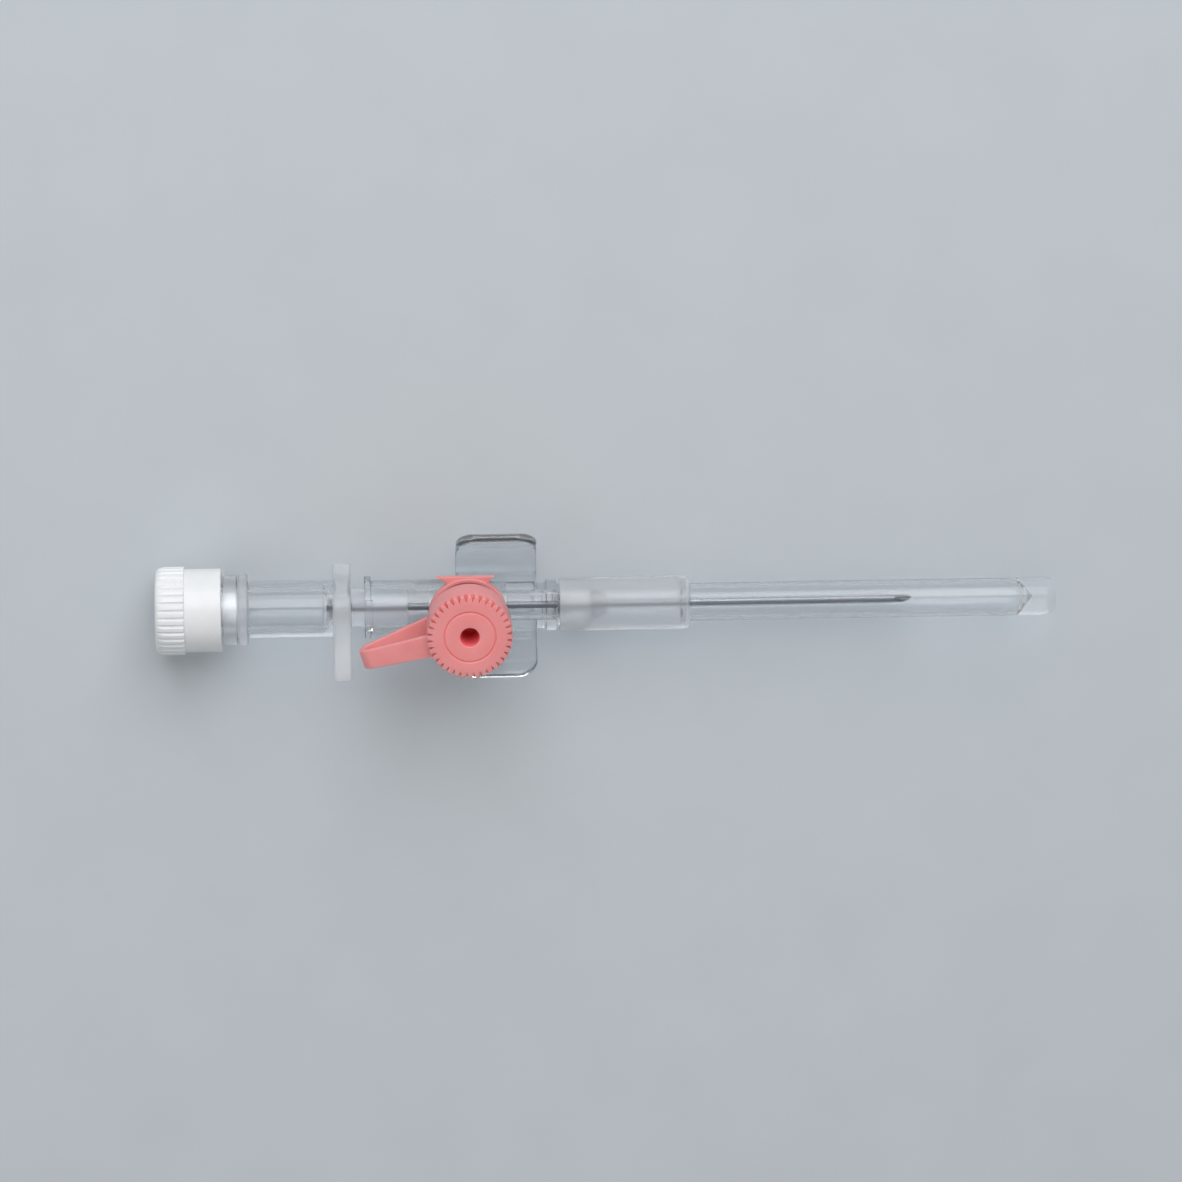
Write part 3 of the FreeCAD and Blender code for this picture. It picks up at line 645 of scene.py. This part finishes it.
def makeNeedleHub():
    # an outer profile and a hollow one, both turned about the axis, the second cut out of the first
    v = chamber
    mouth = needleHubLow[0]
    collar = plugLow[0] + plug["gripLength"] + plug["skirtLength"] + v["stopGap"]
    groove = collar + v["collarWidth"]
    flange = groove + v["grooveWidth"]
    flangeEnd = flange + v["flangeWidth"]
    noseEnd = needleHubHigh[0]
    hubMouth = noseEnd - v["noseLength"]
    plateFront = hubMouth - v["noseGap"]
    plateRear = plateFront - plate["thickness"]
    neck = socketRadius(0) - luer["clearance"]
    tip = socketRadius(v["noseLength"]) - luer["clearance"]
    radius = v["radius"]
    outer = softProfile([
        (mouth, 0), (mouth, v["rearRadius"]), (collar, v["rearRadius"]), (collar, v["collarRadius"]),
        (groove, v["collarRadius"]), (groove, radius), (flange, radius), (flange, v["flangeRadius"]),
        (flangeEnd, v["flangeRadius"]), (flangeEnd, radius), (plateFront, radius), (plateFront, neck),
        (hubMouth, neck), (noseEnd, tip), (noseEnd, 0),
    ], v["rounding"])
    bottom = plateFront - v["seatWall"]
    socketEnd = mouth + v["socketDepth"]
    beyond = noseEnd + overshoot
    inner = softProfile([
        *socketProfile(mouth, v["socketDepth"]), (socketEnd, v["boreRadius"]),
        (bottom - v["boreRadius"] + needleRadius, v["boreRadius"]), (bottom, needleRadius),
        (beyond, needleRadius), (beyond, 0),
    ], v["insideRounding"])
    body = turnedObject("body", outer, v["segments"])
    hollow = turnedObject("hollow", inner, v["segments"])
    lugs = lugPair(mouth, v["rearRadius"])
    piece = hollowed("needleHub", [body, makePlate(plateRear, plateFront), *lugs], [hollow])
    dressed(piece, "clearMoulding", "needle_set", "needle_hub")
    # the collars come hazy from the mould, and the plate and the nose are matt
    patchFinish(piece, "hazyMoulding", collar - overlap, flangeEnd + overlap, radius - overlap)
    patchFinish(piece, "frostedMoulding", plateRear - overlap, plateFront + overlap, radius + 2 * overlap)
    patchFinish(piece, "hazyMoulding", plateFront + overlap, noseEnd + overlap, needleRadius + 2 * overlap)


def makePlate(rear, front):
    # rings of one outline, shrunk towards its middle, lie on two waisted faces; the outermost round the edge
    v = plate
    foot = math.asin((axisHeight - v["floorGap"]) / v["halfWidth"])
    arc = -np.linspace(foot, 0, 24)
    belly = np.column_stack([v["halfWidth"] * np.cos(arc), axisHeight + v["halfWidth"] * np.sin(arc)])
    top = axisHeight + v["topRise"]
    turn = np.linspace(0, tau / 4, 12)
    shoulder = np.column_stack([
        v["halfWidth"] - v["cornerRound"] * (1 - np.cos(turn)),
        top - v["cornerRound"] * (1 - np.sin(turn)),
    ])
    heights = np.linspace(axisHeight, top - v["cornerRound"], 16)[1:-1]
    side = np.column_stack([np.full(len(heights), v["halfWidth"]), heights])
    rightHalf = np.vstack([belly, side, shoulder])
    outline = np.vstack([rightHalf, rightHalf[::-1] * [-1, 1]])
    middle = np.array([0, (v["floorGap"] + top) / 2])
    edge = v["edgeRound"]
    bend = np.linspace(0, tau / 4, 5)
    inset = np.concatenate([v["insets"], edge * (1 - np.sin(bend))])
    fall = np.concatenate([np.zeros(len(v["insets"])), edge * (1 - np.cos(bend))])
    outward = outline - middle
    length = np.linalg.norm(outward, axis=1, keepdims=True)
    rings = middle + outward * (1 - inset[:, None, None] / length[None])
    centreZ = axisHeight + (chamber["radius"] + v["topRise"]) / 2
    waist = v["waistDepth"] * np.clip(1 - ((rings[..., 1] - centreZ) / (v["waistHeight"] / 2)) ** 2, 0, 1)
    rearGrid = stacked(rear + waist + fall[:, None], rings[..., 0], rings[..., 1])
    frontGrid = stacked(front - waist - fall[:, None], rings[..., 0], rings[..., 1])
    return barObject("plate", np.concatenate([rearGrid, frontGrid[::-1]]))


makeNeedleHub()
print("needle hub made")


# needle: a tube whose end is cut by a bevel and two side grinds
point = {
    "boreRadius": 0.26,
    "bevel": math.radians(20),
    "lancet": math.radians(27),
    "lancetTurn": math.radians(38),
    "lancetLift": 0.055,
    "tipTrim": 0.058,  # how far the side grinds shorten the bevelled tube
    "groundLength": 2.6,
    "rows": 10,  # along the ground end
    "segments": 96,
}


def makeNeedle():
    # at each angle the wall ends where it first meets one of three planes that rise rearwards from the point
    v, radius = point, needleRadius
    rear, end = needleLow[0], needleHigh[0] + v["tipTrim"]
    a = np.arange(v["segments"]) / v["segments"] * tau

    def endOf(r):
        y, z = r * np.cos(a), r * np.sin(a)
        ends = [end - (z + radius) / math.tan(v["bevel"])]
        for turn in (v["lancetTurn"], -v["lancetTurn"]):
            low = y * math.sin(turn) + z * math.cos(turn) + radius - v["lancetLift"]
            ends.append(end - low / math.tan(v["lancet"]))
        return np.minimum.reduce(ends + [np.full_like(a, end)])

    outerEnd, innerEnd = endOf(radius), endOf(v["boreRadius"])
    straight = end - v["groundLength"]
    share = np.linspace(0, 1, v["rows"])[:, None]
    rearRows = np.array([[rear], [(rear + straight) / 2]])
    grid = np.concatenate([
        aboutX(rearRows, radius, a[None]),
        aboutX(straight + share * (outerEnd - straight), radius, a[None]),
        aboutX(straight + share[::-1] * (innerEnd - straight), v["boreRadius"], a[None]),
        aboutX(rearRows[::-1], v["boreRadius"], a[None]),
    ])
    piece = gridObject("steelNeedle", grid)
    return dressed(piece, "needleSteel", "needle_set", "needle")


makeNeedle()
print("needle made")


# catheter hub: luer socket, port, saddle and wings, bored to hold the catheter and the eyelet
tube = {
    "wall": 0.13,
    "clearance": 0.02,  # round the needle
    "tipTaper": 1.8,
    "tipWall": 0.05,
    "funnel": 1.2,
    "sleeveWall": 0.1,
    "sleeveClearance": 0.04,
    "rounding": [0.04, 0.04, 0.3, 0.2, 0.2, 0.6, 0.04, 0.02, 0.2, 0.2, 0.3],
    "eyeletRounding": [0.04, 0.04, 0.3, 0.04, 0.04, 0.3],
    "valveBore": 1.15,
    "valveRound": 0.12,
    "valveSegments": 72,
    "segments": 96,
}
catheterRadius = needleRadius + tube["clearance"] + tube["wall"]
sleeveRadius = needleRadius + tube["sleeveClearance"] + tube["sleeveWall"]
hub = {
    "flangeRadius": 3.5,
    "flangeWidth": 0.7,
    "rearRadius": 3.0,
    "frontRadius": 2.6,
    "collarX": 8.7,
    "collarRadius": 2.85,
    "collarWidth": 1.2,
    "seatRadius": 2.3,
    "seatLength": 3.4,
    "shoulderRadius": 1.75,
    "shoulderLength": 1.9,
    "noseRadius": 1.1,
    "socketDepth": 5.6,
    "stepLength": 0.5,
    "rounding": [0, 0.18, 0.14, 0.2, 1.0, 1.0, 0.12, 0.1, 0.16, 0.1, 0.1, 0.3, 0.2, 0],
    "segments": 128,
}
port = {
    "bossRadius": 3.3,
    "radius": 2.85,
    "rimRadius": 3.05,
    "rimHeight": 0.8,
    "boreDepth": 6.0,
    "holeRadius": 0.8,
    "seatRadius": 4.0,
    "seatRise": 3.3,
    "seatThickness": 0.9,
    "rounding": [0, 0, 0.3, 0.12, 0.16, 0.12, 0.12, 0.08, 0.16, 0],
}
wing = {
    "rear": -1.2,
    "front": 7.8,
    "thickness": 0.9,
    "flatHalf": 3.0,
    "bendRadius": 3.8,
    "angle": math.radians(58),
    "bladeLength": 4.2,
    "cornerRound": 2.4,
    "saddleTop": 2.1,
    "saddleBase": 2.9,
    "saddleInset": 0.05,  # from the blade's edges
    "saddleRound": 0.3,
    "tipRound": 0.45,
    "thinnest": 0.02,  # share of the thickness left at the very tip, squared
}


def makeCatheterHub():
    # a body turned about the axis, joined with port, saddle, wings and lugs, less two turned hollows
    v = hub
    mouth, noseEnd = hubLow[0], hubHigh[0]
    flangeEnd = mouth + v["flangeWidth"]
    seatStart = v["collarX"] + v["collarWidth"]
    outer = softProfile([
        (mouth, 0), (mouth, v["flangeRadius"]), (flangeEnd, v["flangeRadius"]),
        (flangeEnd, v["rearRadius"]), (0, v["rearRadius"]), (port["bossRadius"], v["frontRadius"]),
        (v["collarX"], v["frontRadius"]), (v["collarX"], v["collarRadius"]), (seatStart, v["collarRadius"]),
        (seatStart, v["seatRadius"]), (seatStart + v["seatLength"], v["seatRadius"]),
        (noseEnd - v["shoulderLength"], v["shoulderRadius"]), (noseEnd, v["noseRadius"]), (noseEnd, 0),
    ], v["rounding"])
    flare, sleeve = funnelRadius + tube["wall"], sleeveRadius + tube["wall"]
    socketEnd = mouth + v["socketDepth"]
    beyond = noseEnd + overshoot
    inner = np.array([
        *socketProfile(mouth, v["socketDepth"]), (socketEnd, valveRadius), (valveHigh[0], valveRadius),
        (valveHigh[0], flare), (eyeletLow[0], flare), (eyeletLow[0] + tube["funnel"], sleeve),
        (eyeletHigh[0], sleeve), (eyeletHigh[0] + v["stepLength"], catheterRadius),
        (beyond, catheterRadius), (beyond, 0),
    ])
    body = turnedObject("body", outer, v["segments"])
    hollow = turnedObject("hollow", inner, v["segments"])
    solids = [body, makePort(), makeSaddle(), makeWings(), *lugPair(mouth, v["rearRadius"])]
    piece = hollowed("catheterHub", solids, [hollow, makePortHollow()])
    return dressed(piece, "clearMoulding", "hub", "catheter_hub")


def makePort():
    # a profile turned about the upright axis: boss, seat for the tether's ring, neck and rim
    v = port
    top = hubHigh[2]
    seat = axisHeight + v["seatRise"]
    under, rim = seat - v["seatThickness"], top - v["rimHeight"]
    outer = softProfile([
        (axisHeight, 0), (axisHeight, v["bossRadius"]), (under, v["radius"]), (under, v["seatRadius"]),
        (seat, v["seatRadius"]), (seat, v["radius"]), (rim, v["radius"]), (rim, v["rimRadius"]),
        (top, v["rimRadius"]), (top, 0),
    ], v["rounding"])
    return turnedObject("port", outer, hub["segments"], upright=True)


def makePortHollow():
    # a tapered bore turned about the upright axis, and a small hole from its floor to the hub's bore
    v = port
    top = hubHigh[2]
    floor, above = top - v["boreDepth"], top + overshoot
    inner = np.array([
        (axisHeight, 0), (axisHeight, v["holeRadius"]), (floor, v["holeRadius"]),
        (floor, socketRadius(v["boreDepth"])), (top, socketRadius(0)), (above, socketRadius(0)), (above, 0),
    ])
    return turnedObject("portHollow", inner, hub["segments"], upright=True)


def makeSaddle():
    # an upright web with sloping sides, narrower at its top
    v = wing
    high = axisHeight - hub["frontRadius"] / 2
    outline = np.array([
        (-v["saddleBase"], v["thickness"] / 2), (v["saddleBase"], v["thickness"] / 2),
        (v["saddleTop"], high), (-v["saddleTop"], high),
    ])
    web = prism("saddle", outline, v["rear"] + v["saddleInset"], v["front"] - v["saddleInset"],
                lambda u, w, x: stacked(x, u, w))
    return bevelled(web, v["saddleRound"])


def makeWings():
    # a strip with round edges, built over its arc length s: its width and thickness shrink towards the tips
    # along circles, and it bends from flat to the wing's angle round another circle
    v = wing
    halfLength = v["flatHalf"] + v["bendRadius"] * v["angle"] + v["bladeLength"]
    halfWidth = (v["front"] - v["rear"]) / 2
    corner = v["cornerRound"]
    ends = halfLength - corner * (1 - np.cos(np.linspace(0, tau / 4, 14)))
    flats = np.linspace(0, halfLength - corner, 30)
    s = np.unique(np.round(np.concatenate([-ends, -flats, flats, ends]), 6))
    beyond = np.clip(np.abs(s) - (halfLength - corner), 0, corner)
    reach = halfWidth - corner + np.sqrt(corner ** 2 - beyond ** 2)
    tipFall = np.clip((np.abs(s) - halfLength) / v["tipRound"] + 1, 0, 1)
    thin = v["thickness"] * np.sqrt(np.clip(1 - tipFall ** 2, v["thinnest"], 1))
    # the section goes half-way round a flat bar with half-round edges; its other half is the same, negated
    turn = np.linspace(-tau / 4, tau / 4, 9)
    r = thin[:, None] / 2
    frontEdge = stacked(reach[:, None] - r + r * np.cos(turn), r * np.sin(turn))
    topLine = stacked(np.linspace(1, -1, 12)[1:-1] * (reach[:, None] - r), r)
    half = np.concatenate([frontEdge, topLine], axis=1)
    section = np.concatenate([half, -half], axis=1)
    x = (v["front"] + v["rear"]) / 2 + section[..., 0]
    up = v["thickness"] / 2 + section[..., 1]
    side = np.sign(s)[:, None]
    run = np.abs(s)[:, None]
    angle = np.clip((run - v["flatHalf"]) / v["bendRadius"], 0, v["angle"])
    past = np.clip(run - v["flatHalf"] - v["bendRadius"] * v["angle"], 0, None)
    y = np.minimum(run, v["flatHalf"]) + (v["bendRadius"] - up) * np.sin(angle) + past * np.cos(angle)
    z = v["bendRadius"] - (v["bendRadius"] - up) * np.cos(angle) + past * np.sin(angle)
    return barObject("wings", stacked(x, side * y, z))


makeCatheterHub()
print("catheter hub made")


# catheter, eyelet and valve
def makeCatheter():
    # a thin wall turned about the axis: funnel, sleeve over the eyelet, tube, and a tip that thins
    v, wall, sleeve = tube, tube["wall"], sleeveRadius
    bore = catheterRadius - wall
    rear, end, front = tubeLow[0], tubeHigh[0], eyeletHigh[0]
    neck, step = rear + v["funnel"], front + hub["stepLength"]
    outline = softProfile([
        (rear, funnelRadius), (rear, funnelRadius + wall), (neck, sleeve + wall), (front, sleeve + wall),
        (step, catheterRadius), (end - v["tipTaper"], catheterRadius), (end, bore + v["tipWall"]),
        (end, bore), (step, bore), (front, sleeve), (neck, sleeve),
    ], v["rounding"], 3)
    piece = turnedObject("catheter", outline, v["segments"])
    return dressed(piece, "waxyTube", "hub", "catheter_tube")


def makeEyelet():
    # a thin wall turned about the axis: a cone and a short sleeve
    v, wall, sleeve = tube, tube["sleeveWall"], sleeveRadius
    rear, front = eyeletLow[0], eyeletHigh[0]
    neck = rear + v["funnel"]
    outline = softProfile([
        (rear, funnelRadius - wall), (rear, funnelRadius), (neck, sleeve), (front, sleeve),
        (front, sleeve - wall), (neck, sleeve - wall),
    ], v["eyeletRounding"], 3)
    piece = turnedObject("eyelet", outline, v["segments"])
    return dressed(piece, "eyeletSteel", "hub", "catheter_eyelet")


def makeValve():
    # a plain soft sleeve that lies over the port's hole from inside
    rear, front, bore = valveLow[0], valveHigh[0], tube["valveBore"]
    corners = [(rear, bore), (rear, valveRadius), (front, valveRadius), (front, bore)]
    outline = softProfile(corners, tube["valveRound"], 3)
    piece = turnedObject("valve", outline, tube["valveSegments"])
    return dressed(piece, "softSilicone", "hub", "valve_sleeve")


makeCatheter()
makeEyelet()
makeValve()
print("catheter, eyelet and valve made")


# port cap
cap = {
    "roofGap": 0.2,
    "boreRadius": 3.45,
    "beadRadius": 3.28,
    "beadHeight": 0.4,
    "bottomRise": 7.4,
    "stemLength": 3.2,
    "stemRadius": 1.98,
    "stemTipRadius": 1.86,
    "holeRadius": 1.05,
    "holeFloorRadius": 0.92,
    "holeDepth": 5.2,
    "holeShade": (1.0, 0.19, 0.22),  # painted shade: the darker, deeper red drawn on the hole's wall
    "holeShadeMargin": (0.06, 0.1),  # beyond the hole's wall and its floor
    "holeShadeFade": 0.2,
    "lineRadius": 2.8,
    "lineWidth": 0.28,
    "lineDepth": 0.2,
    "teeth": 36,
    "notchWidth": 0.46,
    "notchDepth": 0.68,
    "notchHeight": 0.95,
    "roofMargin": 0.12,  # the roof is flat from the notches' depth and this much further inwards
    "ledgeRows": (0.03, 0.001),  # rows of the outer wall lie this close below and above the ledge
    "wallRow": 0.4,  # and one lies this far below the top
    "tabRise": 11.05,
    "rounding": [0, 0.3, 0.3, 0.25, 0.1, 0.1, 0.08, 0.14, 0.16, 0, 0.05, 0.05, 0.05, 0.14, 0.2, 0],
}
tether = {
    "angle": math.radians(17),
    "rootWidth": 2.45,
    "rootReach": 5.35,  # from here outwards the strap narrows
    "foldWidth": 2.05,
    "thickness": 0.7,
    "ringClearance": 0.04,
    "ringThickness": 0.85,
    "ringRadius": 4.35,
    "lipWidth": 0.42,
    "lipHeight": 0.45,
    "earReach": 4.46,
    "earRear": 3.6,
    "earFront": 2.95,
    "earRoot": 2.2,
    "foldReach": 10.8,
    "foldRadius": 1.2,
    "foldRise": 7.7,
    "capDepth": 0.5,  # how far the strap runs into the cap's wall
    "ringRound": 0.1,
    "earInside": 1.6,  # the ear's outline starts in the ring's hole, which is cut afterwards
    "earSink": 0.05,
    "earRound": 0.07,
    "hornPull": (0.4, 0.45),  # how far the bend of a horn's side leans outwards and away from the ring
    "segments": 144,
    "strandRows": 14,
    "foldRows": 40,
    "edge": 0.14,
}


def makeCap():
    # a profile turned about the upright axis: stem, skirt with a bead, and roof; notches make its teeth
    v = cap
    radius = capHigh[1]
    top = capHigh[2]
    holeFloor = top - v["holeDepth"]
    aside, below = v["holeShadeMargin"]
    # painted shade: the hole in the cap's top is drawn a darker, deeper red
    paintHoleShade(finishes["portPink"], v["holeShade"], (v["holeRadius"] + aside) * mm,
             (holeFloor - below) * mm, top * mm, v["holeShadeFade"] * mm)
    bottom = axisHeight + v["bottomRise"]
    roof = hubHigh[2] + v["roofGap"]
    stemEnd = roof - v["stemLength"]
    ledge = top - v["notchHeight"]
    inside = radius - v["notchDepth"] - v["roofMargin"]
    lineHalf = v["lineWidth"] / 2
    corners = [
        (stemEnd, 0), (stemEnd, v["stemTipRadius"]), (roof, v["stemRadius"]), (roof, v["boreRadius"]),
        (bottom + v["beadHeight"], v["boreRadius"]), (bottom + v["beadHeight"] / 2, v["beadRadius"]),
        (bottom, v["boreRadius"]), (bottom, radius), (top, radius), (top, inside),
        (top, v["lineRadius"] + lineHalf), (top - v["lineDepth"], v["lineRadius"]),
        (top, v["lineRadius"] - lineHalf), (top, v["holeRadius"]), (holeFloor, v["holeFloorRadius"]),
        (holeFloor, 0),
    ]
    outline = softProfile(corners, v["rounding"])
    # extra rows near the ledge on which the notches end
    wall = np.flatnonzero(np.isclose(outline[:, 1], radius) & (outline[:, 0] < ledge))[-1]
    near, step = v["ledgeRows"]
    heights = [ledge - near, ledge, ledge + step, ledge + near, top - v["wallRow"]]
    outline = moreRows(outline, wall, heights, radius)
    # samples crowd at both walls of each notch
    half = v["notchWidth"] / 2 / (radius * tau / v["teeth"])
    across = np.array([0, 0.08, 0.2, 0.5, 0.8, 1.0, 1.05]) * half
    angles = sampledSteps(v["teeth"], 0.5 - across, 0.5 + across, [0.0, 0.1, 0.9])

    def toothed(z, r, a):
        # above the ledge the radius falls by depth * (1 - u^1.25): u is 0 in a notch's middle, 1 at its sides
        phase = np.mod(a / tau * v["teeth"], 1)
        u = np.clip(np.abs(phase - 0.5) / half, 0, 1)
        notch = v["notchDepth"] * (1 - u ** 1.25)
        return np.where((z > ledge) & (r > inside + overlap), np.minimum(r, radius - notch), r)

    drum = turnedObject("drum", outline, angles, upright=True, change=toothed)
    return dressed(drum, "portPink", "cap", "port_cap")


def towardsTether(across, height, along):
    # (along cos a - across sin a, along sin a + across cos a): from -X to the direction of the strap
    c, s = math.cos(tether["angle"]), math.sin(tether["angle"])
    return stacked(along * c - across * s, along * s + across * c, height)


def makeTether():
    # a ring turned about the upright axis, joined with two ears and the strap
    v = tether
    seat = axisHeight + port["seatRise"]
    inner = port["radius"] + v["ringClearance"]
    top = seat + v["ringThickness"]
    lipTop, lipInside = top + v["lipHeight"], v["ringRadius"] - v["lipWidth"]
    ringOutline = softProfile([
        (seat, inner), (seat, v["ringRadius"]), (lipTop, v["ringRadius"]), (lipTop, lipInside),
        (top, lipInside), (top, inner),
    ], v["ringRound"])
    ring = turnedObject("ring", ringOutline, v["segments"], upright=True)
    under, over = seat - overshoot, top + overshoot
    holeOutline = np.array([(under, 0), (under, inner), (over, inner), (over, 0)])
    hole = turnedObject("hole", holeOutline, v["segments"], upright=True)
    eared = hollowed("eared", [ring, makeEar(1, seat, top), makeEar(-1, seat, top)], [hole])
    piece = combined("tether", eared, [makeStrap(seat)], "UNION")
    # the tether is attached to no body, and its placement is baked into its mesh
    piece = dressed(piece, "portPink", None, "cap_tether")
    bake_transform(piece)
    return piece


def makeEar(side, seat, top):
    # a straight edge between two horns, whose inner sides curve back to the ring
    v = tether
    root = math.sqrt(v["ringRadius"] ** 2 - v["earRoot"] ** 2) - v["earSink"]
    t = np.linspace(0, 1, 9)[:, None]
    foot = np.array([v["earRoot"], root])
    share, rise = v["hornPull"]

    def hornSide(reach):
        horn = np.array([reach, v["earReach"]])
        pull = foot + np.array([(reach - v["earRoot"]) * share, rise])
        return bent(t, foot, pull, horn)

    inside = v["earInside"]
    rearSide = hornSide(v["earRear"])[::-1] * [-1, 1]
    outline = np.vstack([[(-inside, inside), (inside, inside)], hornSide(v["earFront"]), rearSide])
    outline[:, 1] *= side
    piece = prism("ear", outline, seat, top)
    return bevelled(piece, v["earRound"], 2)


def makeStrap(seat):
    # a flat section with round edges is carried along two straight strands and the bend between them, whose
    # middle line is fold + foldRadius * (cos a, sin a)
    v = tether
    ringZ = seat + v["ringThickness"] / 2
    tabZ = axisHeight + cap["tabRise"]
    fold = np.array([-v["foldReach"], axisHeight + v["foldRise"]])
    lowRoot = np.array([-v["ringRadius"] + v["lipWidth"], ringZ])
    highRoot = np.array([-capHigh[1] + v["capDepth"], tabZ])

    def touching(root, side):
        # the direction from the fold's middle to the point where a strand's tangent leaves the bend
        back = root - fold
        lean = math.acos(v["foldRadius"] / np.hypot(*back))
        return math.atan2(back[1], back[0]) + side * lean

    sweep = np.linspace(touching(lowRoot, -1), touching(highRoot, 1) - tau, v["foldRows"])
    normals = stacked(np.cos(sweep), np.sin(sweep))
    bend = fold + v["foldRadius"] * normals
    share = np.linspace(0, 1, v["strandRows"])[:, None]
    lowLine = lowRoot + share[:-1] * (bend[0] - lowRoot)
    highLine = bend[-1] + share[1:] * (highRoot - bend[-1])
    path = np.vstack([lowLine, bend, highLine])
    normal = np.pad(normals, ((len(lowLine), len(highLine)), (0, 0)), mode="edge")
    far = -v["foldReach"] - v["foldRadius"] - v["thickness"]
    slope = np.clip((path[:, 0] + v["rootReach"]) / (far + v["rootReach"]), 0, 1)
    width = v["rootWidth"] + slope * (v["foldWidth"] - v["rootWidth"])
    half = v["thickness"] / 2
    section = softProfile([(-1, -half), (1, -half), (1, half), (-1, half)], v["edge"], 3)
    # the corners keep their rounding while the width changes
    acrossSign = np.sign(section[:, 0])
    fromEdge = 1 - np.abs(section[:, 0])
    across = acrossSign[None] * (width[:, None] / 2 - fromEdge[None])
    out = path[:, None] + normal[:, None] * section[None, :, 1:2]
    grid = towardsTether(across, out[..., 1], out[..., 0])
    return barObject("strap", grid)


makeCap()
makeTether()
print("cap and tether made")


# needle cover
cover = {
    "baseLength": 14.4,
    "baseRadius": 2.95,
    "tubeRadius": 2.12,
    "seatLength": 3.4,
    "clearance": 0.03,
    "boreStep": 0.25,
    "tubeWall": 0.55,
    "endThickness": 2.6,
    "neckLength": 1.2,
    "rounding": [0, 1.5, 0.2, 0.6, 0.14, 0.12, 0.05, 0.1, 0.3, 0.3, 0.5, 0],
    "segments": 128,
}


def makeCover():
    # a profile turned about the axis, from the closed end over the outside and back through the bore
    v = cover
    rear, end = coverLow[0], coverHigh[0]
    baseEnd, seatEnd = rear + v["baseLength"], rear + v["seatLength"]
    tubeRadius, baseRadius = v["tubeRadius"], v["baseRadius"]
    inner = tubeRadius - v["tubeWall"]
    seat = hub["seatRadius"] + v["clearance"]
    bore = seat - v["boreStep"]
    neck = baseEnd - v["neckLength"]
    bottom = end - v["endThickness"]
    outline = softProfile([
        (end, 0), (end, tubeRadius), (baseEnd, tubeRadius), (baseEnd, baseRadius), (rear, baseRadius),
        (rear, seat), (seatEnd, seat), (seatEnd, bore), (neck, bore), (neck + v["neckLength"] / 2, inner),
        (bottom - inner, inner), (bottom, 0),
    ], v["rounding"], 6)
    piece = turnedObject("shieldingCover", outline, v["segments"])
    dressed(piece, "coverMoulding", "cover", "needle_cover")
    patchFinish(piece, "hazyMoulding", rear - overlap, baseEnd + overlap / 2, tubeRadius + overlap / 2)
    return piece


makeCover()
print("cover made")

# the vent filter keeps its CAD mesh, and only its finish is new
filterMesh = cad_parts["vent_filter"].data
filterMesh.materials.clear()
filterMesh.materials.append(finishes["filterWhite"])


# floor and light
studio = {
    "floorColour": (0.60, 0.64, 0.672),
    "floorShade": 0.97,  # the darker clouds' share of that colour
    "floorClouds": 90,
    "floorRoughness": 0.85,
    "floorGloss": 0.2,
    "floorSize": 6.0,
    "floorDrop": 0.00001,  # keeps the floor clear of the undersides
    "horizon": (0.52, 0.54, 0.56),
    "zenith": (0.93, 0.945, 0.96),
    "skyHeight": 0.8,  # from here upwards the sky is as at the zenith
    "worldStrength": 0.44,
    "lamps": {  # place, size and power
        "keyLamp": ((0.03, 0.50, 0.45), 0.62, 3.4),
        "fillLamp": ((-0.45, -0.10, 0.55), 0.4, 0.35),
    },
    "aim": (0.015, 0.0, 0.005),  # of both lamps
}


def makeFloor():
    # one square, with its corners at half its size each way
    half = studio["floorSize"] / 2
    points = [(x * half, y * half, -studio["floorDrop"]) for x, y in ((-1, -1), (1, -1), (1, 1), (-1, 1))]
    mesh = bpy.data.meshes.new("floor")
    mesh.from_pydata(points, [], [(0, 1, 2, 3)])
    floor = inScene("floor", mesh)
    finish, tree, surface = blankFinish("floorPaper")
    level = ramp(tree, noise(tree, studio["floorClouds"], 4), 0, 1)
    pale = studio["floorColour"]
    darker = tuple(part * studio["floorShade"] for part in pale)
    setInputs(tree, surface, {
        "Base Color": colourMix(tree, level, pale, darker),
        "Roughness": studio["floorRoughness"],
        "Specular IOR Level": studio["floorGloss"],
    })
    mesh.materials.append(finish)


def makeLamp(name, place, size, power):
    # a square lamp that looks along the line from its place to the aim
    data = bpy.data.lights.new(name, "AREA")
    data.size = size
    data.energy = power
    lamp = inScene(name, data)
    lamp.location = place
    lamp.rotation_euler = (Vector(studio["aim"]) - Vector(place)).to_track_quat("-Z", "Y").to_euler()


def makeWorld():
    # the sky goes from the horizon's grey to the zenith's white with the height of the direction looked in
    world = bpy.data.worlds.new("studio")
    bpy.context.scene.world = world
    world.use_nodes = True
    tree = world.node_tree
    place = addNode(tree, "TexCoord", {})
    split = addNode(tree, "SeparateXYZ", {"Vector": place.outputs["Generated"]})
    level = ramp(tree, split.outputs["Z"], 0, 1, 0, studio["skyHeight"])
    colour = colourMix(tree, level, studio["horizon"], studio["zenith"])
    setInputs(tree, tree.nodes["Background"], {"Color": colour, "Strength": studio["worldStrength"]})


makeFloor()
makeWorld()
for name, values in studio["lamps"].items():
    makeLamp(name, *values)
bpy.context.scene.view_settings.view_transform = "Standard"
print("floor and light made")
